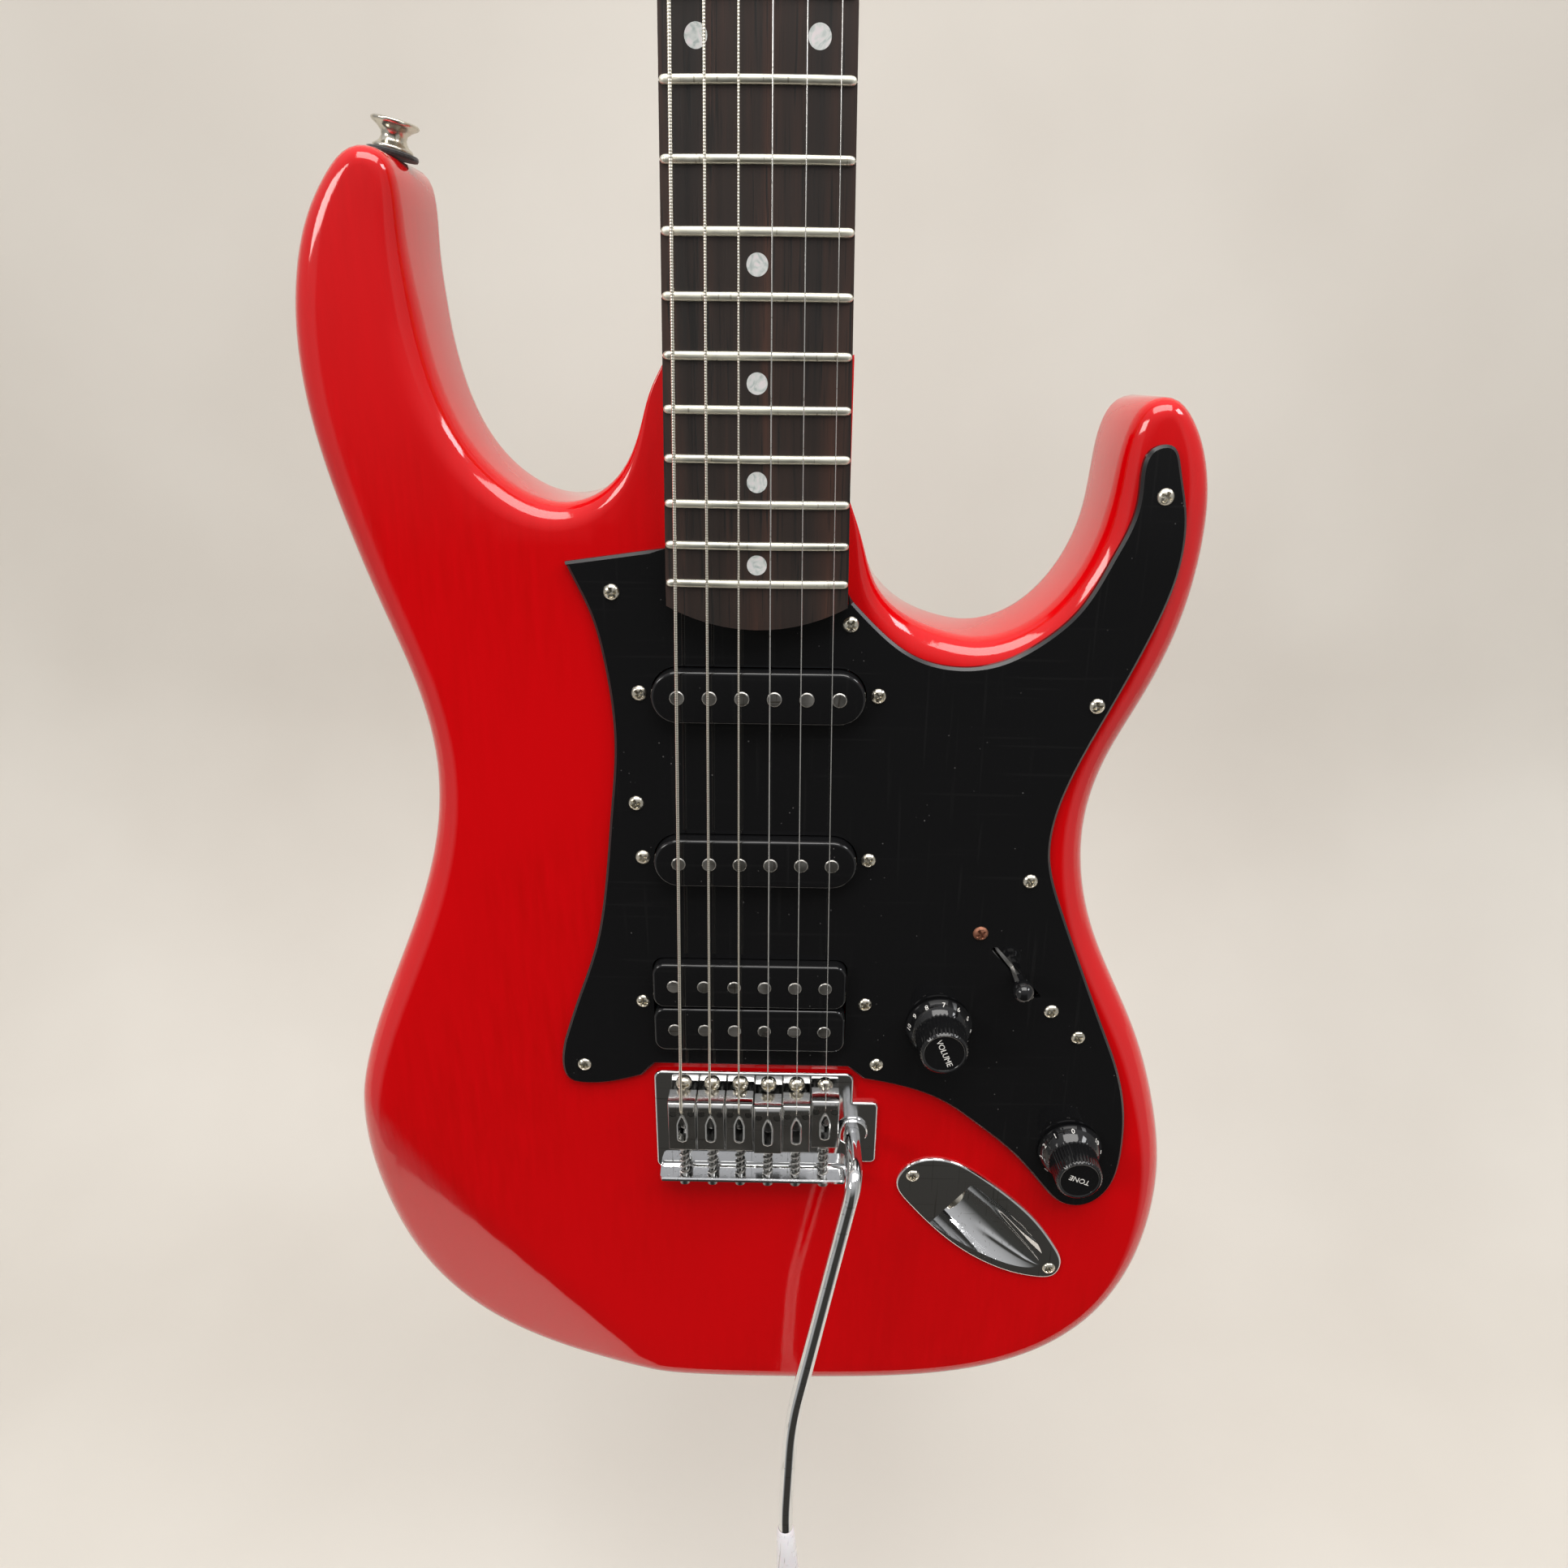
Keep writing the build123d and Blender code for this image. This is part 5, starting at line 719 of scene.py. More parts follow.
guard_parts += [wall(hole, TOP + 0.02, GUARD_TOP, True) for hole in guard_holes]
guard = make("pickguard_sheet", guard_parts, black_gloss("black_guard", bevel=True),
             replaces=["pickguard"], sharp=20)
facing = np.zeros(len(guard.data.polygons) * 3)
guard.data.polygons.foreach_get("normal", facing)
facing = facing.reshape(-1, 3)
sloped = ((facing[:, 1] < -0.3) & (facing[:, 1] > -0.95)).astype(np.float32)
guard.data.attributes.new("bevel", "FLOAT", "FACE").data.foreach_set("value", sloped)

# ------------------------------------------------------------------ pickups
# Two narrow pickups under moulded black covers, and a twin-coil one with open bobbins at the bridge.
# Round steel pole tops stand just proud of them, and spring-loaded screws hang each from the guard.
STEPS = np.array([-0.5, -0.3, -0.1, 0.1, 0.3, 0.5])
PICKUP_TOP, TWIN_TOP = 29.6, 29.0
POLE_RADIUS = 2.4
SATIN = worn("satin_black", (0.012, 0.012, 0.012), (0.05, 0.05, 0.05), 0.34)
POLE = worn("pole_steel", (0.34, 0.33, 0.31), (0.16, 0.14, 0.12), 0.34, 1.0, smear=0.2, scale=2.0)


def turned(profile, centres, way, side, count=28, ripple=None):
    """A round piece: a profile of distance along an axis and radius, carried round it at every centre. Ripple adds
    to the radius by the turn and the row."""
    profile = np.array(profile, float)
    way = np.array(way, float) / np.linalg.norm(way)
    first = np.array(side, float) - way * np.dot(side, way)
    first /= np.linalg.norm(first)
    turn = np.arange(count) * 2 * np.pi / count
    round_it = first[None] * np.cos(turn)[:, None] + np.cross(way, first)[None] * np.sin(turn)[:, None]
    radius = profile[:, 1, None] + (0 if ripple is None else ripple(turn[None], profile[:, :1]))
    shape = way * profile[:, 0, None, None] + round_it[None] * radius[..., None]
    return grid((np.array(centres, float).reshape(-1, 1, 1, 3) + shape[None]) / 1000.0)


FRONT, REAR, SIDE = (0.0, -1.0, 0.0), (0.0, 1.0, 0.0), (1.0, 0.0, 0.0)


def at(points, h):
    """Centres at height h, in millimetres of X, Y and Z, for turned pieces."""
    return [(x, -h, z) for x, z in points]


covers = []
for x, z in PICKUPS:
    covers += slab(stadium(x, z, COVER_LONG, COVER_WIDE, count=24), 18.0, PICKUP_TOP, 0.2, 1.1)
make("single_coil_covers", covers, BLACK, replaces=["pickup_covers", "pickup_coils"], sharp=50)
bobbins = []
for side in (-9.1, 9.1):
    middle = TWIN[1] + side
    bobbins += slab(box(TWIN[0] - 34.5, TWIN[0] + 34.5, middle - 8.8, middle + 8.8, 4.2, 9), 14.0, TWIN_TOP, 0.2, 1.0)
make("twin_coil_bobbins", bobbins, BLACK, replaces=["humbucker_bobbins"], sharp=50)
single_poles = [(x + k * 52, z) for x, z in PICKUPS for k in STEPS]
twin_poles = [(TWIN[0] + k * 54, TWIN[1] + s) for s in (-9.1, 9.1) for k in STEPS]
pole = [(-6, 0), (-6, POLE_RADIUS), (0.1, POLE_RADIUS), (0.35, POLE_RADIUS - 0.3), (0.4, POLE_RADIUS - 0.7), (0.38, 0)]
make("pole_tops", [turned(pole, at(single_poles, PICKUP_TOP), FRONT, SIDE),
                   turned(pole, at(twin_poles, TWIN_TOP), FRONT, SIDE)],
     POLE, replaces=["pickup_poles"], sharp=30)
clothe(SATIN, "height_tubes")
clothe(NICKEL, "humbucker_baseplate")

# ------------------------------------------------------------------ screws
# Domed nickel screws with cross recesses, no two turned alike. One of the selector's pair has lost
# its plating and gone a dull copper.
GUARD_SCREWS = [(-45.8, 343.8), (-40.8, 272.5), (-64.2, 166.8), (29.5, 334.5), (44.5, 168.8), (94.4, 245.5),
                (117.9, 182.1), (127.4, 112.6), (122.8, 374.8), (110, 308.8)]
JACK_SCREWS = [(61, 116.5), (118.6, 70.9)]
PICKUP_SCREWS = [*[(x + s * 38.75, z) for x, z in PICKUPS for s in (-1, 1)],
                 *[(TWIN[0] + 1.5 + s * 40.25, TWIN[1]) for s in (-1, 1)]]
SWITCH_SCREWS = [(SELECTOR[0] + s * 21.2 * math.cos(SELECTOR_TURN), SELECTOR[1] + s * 21.2 * math.sin(SELECTOR_TURN))
                 for s in (-1, 1)]
COVER_SCREWS = [(sx * 37.0, 196 + sz * 73.0) for sx in (-1, 1) for sz in (-1, 0, 1)]
NECK_SCREWS = [(sx * 19.0, 373 + sz * 25.5) for sx in (-1, 1) for sz in (-1, 1)]
STEM = 4.0


def cross_heads(centres, way, radius, high, seed, shank=1.5):
    """Screw heads: a dome over rings and spokes, dropped inside a tapering cross that is turned by chance, with a
    plain rim that runs back under the head."""
    centres = np.array(centres, float).reshape(-1, 1, 1, 3)
    chance = np.random.default_rng(seed)
    share = np.concatenate([[0, 0.07, 0.12, 0.17], np.linspace(0.23, 0.9, 13), [0.96, 1.0]])[None, ::-1, None]
    spoke = np.arange(48)[None, None] * 2 * np.pi / 48
    twist = chance.uniform(0, np.pi / 2, len(centres))[:, None, None]
    u, v = share * np.cos(spoke - twist), share * np.sin(spoke - twist)
    dome = high * (1 - 0.62 * share ** 2) * np.sqrt(np.clip(1 - share ** 6, 0, 1))
    arm = np.minimum(np.clip((0.17 - np.minimum(np.abs(u), np.abs(v))) / 0.05, 0, 1),
                     np.clip((0.66 - share) / 0.1, 0, 1))
    lift = dome - arm * high * (0.95 - 0.6 * share)
    way = np.array(way, float)
    first = np.array((0.0, 0.0, 1.0)) if abs(way[1]) > 0.5 else np.array((0.0, 1.0, 0.0))
    second = np.cross(way, first)
    flat = radius * share
    across = first * (flat * np.cos(spoke))[..., None] + second * (flat * np.sin(spoke))[..., None]
    shape = across + way * lift[..., None]
    rim = shape[:, :1] - way * (shape[:, :1] @ way)[..., None]
    stem = rim * shank / radius
    under = np.concatenate([rim * 0 - way * STEM, stem - way * STEM, stem, rim], axis=1)
    return grid((centres + np.concatenate([under, shape], axis=1)) / 1000.0)


COPPER = worn("tarnished_screw", (0.30, 0.13, 0.08), (0.10, 0.05, 0.03), 0.4, 0.8, smear=0.2, scale=2.0)
make("guard_and_jack_screws", [
    cross_heads(at(GUARD_SCREWS, GUARD_TOP), FRONT, 2.6, 1.3, 3),
    cross_heads(at(JACK_SCREWS, 23.4), FRONT, 2.6, 1.3, 4),
    cross_heads(at(COVER_SCREWS, BACK - 2), REAR, 2.6, 1.3, 5),
], NICKEL, replaces=["cover_screws"], sharp=40)
make("pickup_and_switch_screws", [
    cross_heads(at(PICKUP_SCREWS, GUARD_TOP), FRONT, 2.55, 1.3, 6),
    cross_heads(at(SWITCH_SCREWS[1:], GUARD_TOP), FRONT, 2.7, 1.3, 7),
], NICKEL, replaces=["machine_screws"], sharp=40)
make("tarnished_switch_screw", [cross_heads(at(SWITCH_SCREWS[:1], GUARD_TOP), FRONT, 2.7, 1.3, 8)], COPPER,
     sharp=40)

# ------------------------------------------------------------------ controls
# Two black moulded knobs with a numbered skirt, a ribbed barrel and a shallow dished top, pushed on
# the shafts of the potentiometers. The selector's lever is a steel blade with a small black bead.
VOLUME, TONE = (66.4, 186.5), (119.8, 132.0)
KNOB_LOW = GUARD_TOP + 0.8
SKIRT, BARREL, KNOB_TOP = 12.2, 8.9, 8.3
WHITE_PAINT = worn("white_lettering", (0.72, 0.70, 0.66), (0.30, 0.29, 0.27), 0.5)


def knob(centre):
    """The profile runs from the axis under the skirt, up the cone and the ribbed barrel, and over the rim into the
    dish."""
    profile = [(0.2, 0), (0.2, 3.2), (0.0, SKIRT - 1.0), (0.0, SKIRT - 0.2), (0.5, SKIRT), (1.3, SKIRT - 0.1),
               (3.6, 10.9), (5.6, BARREL + 0.9), (6.2, BARREL + 0.3), (6.6, BARREL), (7.2, BARREL),
               (12.0, KNOB_TOP + 0.25), (16.2, KNOB_TOP), (16.6, KNOB_TOP - 0.15), (17.0, KNOB_TOP - 0.6),
               (16.9, KNOB_TOP - 1.0), (16.6, KNOB_TOP - 1.3), (16.45, 4.0), (16.4, 0)]

    def ribs(turn, row):
        """Twenty pairs of ribs up the barrel."""
        return 0.22 * np.abs(np.sin(turn * 20)) * ((row > 6.4) & (row < 16.3))

    return turned(profile, at([centre], KNOB_LOW), FRONT, SIDE, 240, ribs)


def written(words, size, deep=0.05):
    """Flat letters of a plain face as corners and faces, centred on zero, in millimetres."""
    text = bpy.data.curves.new("letters", "FONT")
    text.body, text.size, text.extrude, text.resolution_u = words, size, deep, 3
    text.align_x, text.align_y = "CENTER", "CENTER"
    holder = bpy.data.objects.new("letters", text)
    bpy.context.collection.objects.link(holder)
    mesh = bpy.data.meshes.new_from_object(holder.evaluated_get(bpy.context.evaluated_depsgraph_get()))
    corners = np.zeros(len(mesh.vertices) * 3)
    mesh.vertices.foreach_get("co", corners)
    faces = [list(p.vertices) for p in mesh.polygons]
    bpy.data.objects.remove(holder)
    bpy.data.meshes.remove(mesh)
    return corners.reshape(-1, 3), faces


def lettered(letters, origin, right, up):
    """Letters laid on a plane through an origin, given its two directions in X, Y and Z."""
    corners, faces = letters
    right, up = np.array(right, float), np.array(up, float)
    out = np.cross(right, up)
    return (np.array(origin) + corners[:, :1] * right + corners[:, 1:2] * up + corners[:, 2:] * out) / 1000.0, faces


def dial(centre, numbers, word, word_turn):
    """Numbers round the skirt's cone, heads outward, and the word across the top."""
    parts = []
    slope = math.atan2(5.1, 2.4)
    for number, degrees in numbers:
        a = math.radians(degrees)
        out = np.array([math.cos(a), 0, math.sin(a)])
        up = out * math.cos(slope) + np.array([0, 1, 0]) * math.sin(slope)
        right = np.cross(up, out * math.sin(slope) - np.array([0, 1, 0]) * math.cos(slope))
        middle = np.array([centre[0], -KNOB_LOW - 3.1, centre[1]]) + out * 11.2
        if np.dot(np.cross(right, up), out) < 0:
            right = -right
        parts.append(lettered(written(str(number), 2.7), middle, right, up))
    a = math.radians(word_turn)
    right, up = np.array([math.cos(a), 0, math.sin(a)]), np.array([-math.sin(a), 0, math.cos(a)])
    parts.append(lettered(written(word, 3.0), (centre[0], -KNOB_LOW - 16.5, centre[1]), right, up))
    return parts


for name, centre, numbers, word, word_turn in (
    ("volume", VOLUME, [(10, 172), (9, 146), (8, 118), (7, 86), (6, 56), (5, 30), (4, 3), (3, -25), (2, -52),
                        (1, -80)], "VOLUME", -66),
    ("tone", TONE, [(3, 185), (2, 158), (1, 128), (0, 92), (10, 36), (9, 8), (8, -20), (7, -48), (6, -75),
                    (5, -103), (4, -140)], "TONE", 160),
):
    make(f"{name}_knob_body", [knob(centre)], BLACK, name, [f"{name}_knob"], sharp=34)
    make(f"{name}_numbers", dial(centre, numbers, word, word_turn), WHITE_PAINT, name, sharp=30)
STEEL = worn("plain_steel", (0.50, 0.49, 0.47), (0.26, 0.24, 0.21), 0.28, 1.0, smear=0.14)
clothe(STEEL, "potentiometers", "volume_shaft", "tone_shaft", "selector_frame", "selector_lever")
PIN_HIGH = 4.5
lever_axis = np.array([math.cos(SELECTOR_TURN), 0, math.sin(SELECTOR_TURN)])
lever_side = np.array([-math.sin(SELECTOR_TURN), 0, math.cos(SELECTOR_TURN)])


def blade():
    """The lever's curved blade, a strip on an arc about its pin, which fills the slot at every setting."""
    turn = np.linspace(-0.62, 0.62, 25)[:, None]
    inner, outer, half = 16.6, 18.9, 0.7
    ring = [(inner, -half), (outer, -half), (outer, half), (inner, half)]
    rows = [lever_axis * (r * np.sin(turn)) + np.array(FRONT) * (PIN_HIGH + r * np.cos(turn)) + lever_side * s
            for r, s in ring]
    strip = np.stack(rows, axis=1) + np.array([SELECTOR[0], 0, SELECTOR[1]])
    return grid(ended(strip)[:, ::-1] / 1000.0)


make("selector_blade", [blade()], STEEL, "selector")
bead = [(0.0, 0), (0.0, 2.2), (0.6, 2.5), (3.6, 2.3), (4.6, 2.6), (5.6, 3.3), (7.0, 3.75), (8.6, 3.8), (10.2, 3.3),
        (11.3, 2.3), (11.9, 1.1), (12.0, 0)]
make("selector_bead", [turned(bead, at([SELECTOR], 28.5), FRONT, SIDE, 40)], BLACK, "selector",
     ["selector_tip"], sharp=50)

# ------------------------------------------------------------------ output jack
# A pressed plate with a dished scoop, chrome plated, screwed to the top. The socket's nut and bush
# show in the steep wall at the scoop's wide end.
CHROME = worn("bright_chrome", (0.74, 0.745, 0.75), (0.55, 0.55, 0.54), 0.06, 1.0, smear=0.05)
JACK, JACK_TURN, JACK_TILT = (77.0, 102.7), math.radians(-38.4), math.radians(16.6)
SCOOP = 12.4
JACK_FACE = 23.4
JACK_EDGE = [(54.8, 112.5), (57.5, 119.5), (66.5, 124.4), (78, 122.5), (89, 115.5), (101, 105.5), (111.5, 94.5),
             (120, 82), (123.4, 72), (121, 66.8), (113.5, 65.8), (103.5, 68), (91.5, 73.5), (80, 81.5), (69.5, 91.5),
             (60, 102.5)]


def scoop_points(out, below, side):
    """X, height and Z at a distance out of the jack's wall, below the plug's axis and to its side."""
    c, s = math.cos(JACK_TURN), math.sin(JACK_TURN)
    flat = out * math.cos(JACK_TILT) + below * math.sin(JACK_TILT)
    return (JACK[0] + flat * c - side * s, TOP + out * math.sin(JACK_TILT) - below * math.cos(JACK_TILT),
            JACK[1] + flat * s + side * c)


def scoop():
    """A round trough about the plug's axis: rows run out from the wall to the tip, and columns from rim to rim, where
    the trough meets the plate. Two creases run along its floor towards the tip."""
    reach = (SCOOP * math.cos(JACK_TILT) + JACK_FACE - TOP) / math.sin(JACK_TILT)
    out = (reach * np.sin(np.linspace(0, np.pi / 2, 41)))[:, None]
    limit = np.arccos(np.clip((out * math.sin(JACK_TILT) - (JACK_FACE - TOP)) / (SCOOP * math.cos(JACK_TILT)), -1, 1))
    share = np.linspace(-1, 1, 49)[None]
    turn = limit * share
    crease = 0.45 * np.exp(-((np.abs(share) - 0.38) / 0.07) ** 2)
    crease = crease * np.clip((out - 16) / 8, 0, 1) * np.clip((reach - out) / 6, 0, 1)
    radius = SCOOP - crease
    return scoop_points(out, radius * np.cos(turn), radius * np.sin(turn))


trough_x, trough_h, trough_z = scoop()
mouth = np.concatenate([np.stack([trough_x[:, 0], trough_z[:, 0]], axis=1),
                        np.stack([trough_x[:-1, -1], trough_z[:-1, -1]], axis=1)[::-1],
                        straight((trough_x[0, -1], trough_z[0, -1]), (trough_x[0, 0], trough_z[0, 0]), 8)])
if np.sum(mouth[:, 0] * np.roll(mouth[:, 1], -1) - np.roll(mouth[:, 0], -1) * mouth[:, 1]) < 0:
    mouth = mouth[::-1]
steep = np.linspace(0, 1, 7)[:, None]
chord_x = np.linspace(trough_x[0, 0], trough_x[0, -1], 49)[None]
chord_z = np.linspace(trough_z[0, 0], trough_z[0, -1], 49)[None]
steep_wall = place(chord_x + (trough_x[:1] - chord_x) * steep, JACK_FACE + (trough_h[:1] - JACK_FACE) * steep,
                   chord_z + (trough_z[:1] - chord_z) * steep)
jack_loop = curve(JACK_EDGE, 160, closed=True)[::-1]
jack_low = TOP + 0.02
trough = place(trough_x, trough_h, trough_z)
make("jack_plate_pressing", [
    *slab(jack_loop, jack_low, JACK_FACE, 0.1, 1.0, [mouth], [mouth], steps=6),
    wall(mouth, jack_low, JACK_FACE, True)], CHROME, replaces=["jack_plate"], sharp=45)
make("jack_scoop", [grid(trough, closed=False, flip=True), grid(steep_wall, closed=False)], CHROME,
     sharp=45)
clothe(NICKEL, "jack_socket")

# ------------------------------------------------------------------ bridge
# A pressed steel plate with a turned-up back wall and an ear for the arm, and six block saddles, all
# chrome plated. It rocks on six screws, and springs in the back pull against the strings.
PLATE_TOP = 24.0
PLATE_BACK, PLATE_FRONT = BRIDGE_Z - 36.5, BRIDGE_Z + 8.3
STRING_SHIFT, STRING_SPREAD = -0.8, 53
SADDLE_X = STRING_SHIFT + STRING_SPREAD / 5 * np.array([-2.5, -1.5, -0.5, 0.5, 1.5, 2.5])
SADDLE_FORE = np.array([0.0, 0.0, 0.0, -1.2, -0.4, 2.0])
SADDLE_LONG, SADDLE_WIDE = 22.0, 10.2
SADDLE_TOP = 35.7
PLAIN_CHROME = worn("brushed_chrome", (0.62, 0.615, 0.60), (0.42, 0.41, 0.39), 0.13, 1.0, smear=0.12, scale=1.5)
plate_loop = rounded([(-38.6, PLATE_BACK), (36.4, PLATE_BACK), (36.4, BRIDGE_Z - 32.5), (46, BRIDGE_Z - 32.5),
                      (46, BRIDGE_Z - 4.6), (36.4, BRIDGE_Z - 4.6), (36.4, PLATE_FRONT), (-38.6, PLATE_FRONT)],
                     [3, 3, 0.4, 2, 2, 0.4, 3, 3])


def bent_wall():
    """The back wall's section, an upright strip whose foot turns into the plate on a small arc, carried along X."""
    turn = np.linspace(0, np.pi / 2, 7)
    outer = np.stack([PLATE_BACK + 2.6 - 2.6 * np.cos(turn[::-1]), 24.4 - 2.4 * np.sin(turn[::-1])], axis=1)
    top = np.array([[PLATE_BACK, 31.4], [PLATE_BACK + 0.5, 32.0], [PLATE_BACK + 1.4, 32.0], [PLATE_BACK + 1.9, 31.5]])
    inner = np.stack([PLATE_BACK + 3.4 - 1.5 * np.cos(turn), 25.6 - 1.5 * np.sin(turn)], axis=1)
    section = np.concatenate([outer, top, inner, [[PLATE_BACK + 3.6, 22.1]]])
    along = np.array([-37.0, -36.6, -35.8, 33.6, 34.4, 34.8])[:, None]
    shrink = np.array([0.6, 0.9, 1.0, 1.0, 0.9, 0.6])[:, None]
    middle = section.mean(axis=0)
    z = middle[0] + (section[:, 0] - middle[0]) * shrink
    h = 22.1 + (section[:, 1] - 22.1) * shrink
    return grid(ended(place(along, h, z)))


ARM_X, ARM_Z = 36.5, BRIDGE_Z - 17
arm_hole = circle(ARM_X, ARM_Z, 2.95, 36)


def underside(x, z):
    """The plate's underside rises ahead of the screws that it rocks on."""
    return TOP + 0.02 + 1.4 * np.clip((z - BRIDGE_Z - 3.6) / 5.7, 0, 1)


plate_parts = slab(plate_loop, underside, PLATE_TOP, 0.1, 0.9, [arm_hole], [arm_hole], steps=6, net=2.5)
plate_parts.append(wall(arm_hole, TOP + 0.02, PLATE_TOP, True))
make("bridge_plate", [*plate_parts, bent_wall()], CHROME, "bridge", ["trem_plate"], sharp=40)
clothe(worn("cast_block", (0.30, 0.30, 0.30), (0.18, 0.17, 0.16), 0.45, 1.0), "trem_block")


def tube(path, radius, reference, sides=12):
    """A round bar along a path of points in millimetres: each ring stands square to the path, turned by a fixed
    reference direction. The radius may vary, and both ends close."""
    path = np.array(path, float)
    way = np.gradient(path, axis=-2)
    way /= np.linalg.norm(way, axis=-1, keepdims=True)
    first = np.cross(way, np.array(reference, float))
    first /= np.linalg.norm(first, axis=-1, keepdims=True)
    second = np.cross(way, first)
    turn = np.arange(sides) * 2 * np.pi / sides
    ring = first[..., None, :] * np.cos(turn)[:, None] + second[..., None, :] * np.sin(turn)[:, None]
    rings = path[..., None, :] + ring * np.broadcast_to(radius, path.shape[:-1])[..., None, None]
    low, high = (np.repeat(path[..., k, None, None, :], sides, axis=-2) for k in (0, -1))
    return grid(np.concatenate([low, rings, high], axis=-3) / 1000.0)


def helix(start, end, radius, turns, steps=16):
    """A coil's centre line from one point to another in millimetres, for many starts at once."""
    start, end = np.atleast_2d(np.array(start, float)), np.atleast_2d(np.array(end, float))
    t = np.linspace(0, 1, int(turns * steps) + 1)[None, :, None]
    turn = t * turns * 2 * np.pi
    way = (end - start)[:, None] / np.linalg.norm(end - start, axis=1)[:, None, None]
    first = np.cross(way, np.array([1.0, 0.0, 0.0]))
    second = np.cross(way, first)
    return start[:, None] + (end - start)[:, None] * t + radius * (first * np.cos(turn) + second * np.sin(turn))


def saddle(x, fore):
    """A block with a slot for the string: a rounded ridge across its front, a lower flat deck behind, a raised lip
    round the slot, and two wells over the height screws."""
    front = BRIDGE_Z + 2.5 + fore
    deck = SADDLE_TOP - 1.9

    def crown(px, pz):
        """A round nose at the front, then the ridge, then a soft step down to the deck."""
        into = front - pz
        nose = np.where(into < 2, SADDLE_TOP - 2 + np.sqrt(np.clip(2 ** 2 - (2 - into) ** 2, 0, None)), SADDLE_TOP)
        step = 1 / (1 + np.exp(-(into - 3.8) / 0.16))
        return nose * (1 - step) + deck * step

    share = np.linspace(0, 1, 25)
    foot = np.sqrt(np.clip(1 - np.clip((share - 0.86) / 0.14, 0, 1) ** 2, 0, 1))
    half = 1.7 * np.minimum(1, (share / 0.35) ** 0.7) * foot
    fall = front - 6.4 - 11.6 * share
    slot_loop = np.concatenate([np.stack([x - half, fall], axis=1), np.stack([x + half, fall], axis=1)[-2:0:-1]])
    wells = [circle(x + s * 3.4, front - 5.6, 1.35, 16) for s in (-1, 1)]
    outline = box(x - SADDLE_WIDE / 2, x + SADDLE_WIDE / 2, front - SADDLE_LONG, front, 0.3, 3)
    made = slab(outline, 26.8, crown, 0.1, 0.35, [slot_loop], [slot_loop, *wells], steps=3, net=0.8)
    made.append(wall(slot_loop, 26.8, crown, True))
    for well in wells:
        made += [wall(well, deck - 2.5, crown, True), cap(well, [], deck - 2.5)]
    ring = np.concatenate([slot_loop, slot_loop[:2]])
    path = np.stack([ring[:, 0], -np.full(len(ring), deck + 0.12), ring[:, 1]], axis=1)
    made.append(tube(path, 0.38, (0, 1, 0), 8))
    return made


saddle_parts = []
for x, fore in zip(SADDLE_X, SADDLE_FORE):
    saddle_parts += saddle(x, fore)
make("saddle_blocks", saddle_parts, PLAIN_CHROME, "bridge", ["saddles"], sharp=35)
spring_from = [(x, -29.0, PLATE_BACK + 2.0) for x in SADDLE_X]
spring_to = [(x, -29.0, BRIDGE_Z + 2.5 + f - SADDLE_LONG) for x, f in zip(SADDLE_X, SADDLE_FORE)]
make("saddle_springs", [tube(helix(spring_from, spring_to, 1.6, 5.5, 14), 0.36, (0, 0, 1), 8)], STEEL,
     "bridge", ["intonation_springs"])
clothe(worn("grub_steel", (0.30, 0.30, 0.29), (0.16, 0.16, 0.15), 0.25, 1.0), "saddle_screws")
pivots = [(x, -(PLATE_TOP + 0.6), BRIDGE_Z + 3.6) for x in SADDLE_X]
make("pivot_screw_heads", [cross_heads(pivots, FRONT, 3.0, 2.1, 11, 1.7)], NICKEL,
     replaces=["pivot_screws"], sharp=40)
coil_from = [(x, 14.0, BRIDGE_Z - 4 + 0.6) for x in (-11.0, 0.0, 11.0)]
coil_to = [(x, 14.0, BRIDGE_Z + 97 - 0.6) for x in (-11.0, 0.0, 11.0)]
coils = make("tremolo_coils", [tube(helix(coil_from, coil_to, 3.0, 52, 12), 0.5, (0, 0, 1), 6)], STEEL,
             None, ["trem_springs"])
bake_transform(coils)
clothe(STEEL, "spring_claw")

# ------------------------------------------------------------------ arm
# A bent rod of chromed steel, screwed into a bushed hole in the ear, with a push-on white plastic tip.
ARM_RADIUS = 2.9
ARM_ROUTE = [(ARM_X, 24, -17), (ARM_X, 51.5, -17), (15.1, 57, -131.5), (13.2, 61, -180), (14.5, 63, -206)]


def bent_line(points, reaches, steps=14):
    """A path whose corners turn on smooth arcs that begin and end a given reach from each corner."""
    p = np.array(points, float)
    rows = [p[:1]]
    t = np.linspace(0, 1, steps)[:, None]
    for corner, before, after, reach in zip(p[1:-1], p[:-2], p[2:], reaches):
        a = corner + (before - corner) / np.linalg.norm(before - corner) * reach
        b = corner + (after - corner) / np.linalg.norm(after - corner) * reach
        rows.append(a * (1 - t) ** 2 + corner * 2 * t * (1 - t) + b * t ** 2)
    return np.concatenate([*rows, p[-1:]])


arm_points = [(x, -h, BRIDGE_Z + z) for x, h, z in ARM_ROUTE]
arm_path = bent_line(arm_points, (9, 14, 10))
make("arm_rod", [tube(arm_path, ARM_RADIUS, (1, 0, 0.02), 28)], CHROME, "arm", ["trem_arm"])
bush = [(0, 2.9), (0, 5.4), (0.5, 5.8), (1.6, 5.8), (2.1, 5.3), (2.2, 4.2), (2.2, 2.95)]
make("arm_bush", [turned(bush, at([(ARM_X, ARM_Z)], PLATE_TOP - 0.2), FRONT, SIDE, 36)], CHROME, "bridge")
WHITE = worn("white_tip_plastic", (0.76, 0.73, 0.75), (0.5, 0.48, 0.48), 0.22, smear=0.1, subsurface_weight=0.1)
tip_end, tip_from = np.array(arm_points[-1]), np.array(arm_points[-2])
tip_way = (tip_end - tip_from) / np.linalg.norm(tip_end - tip_from)
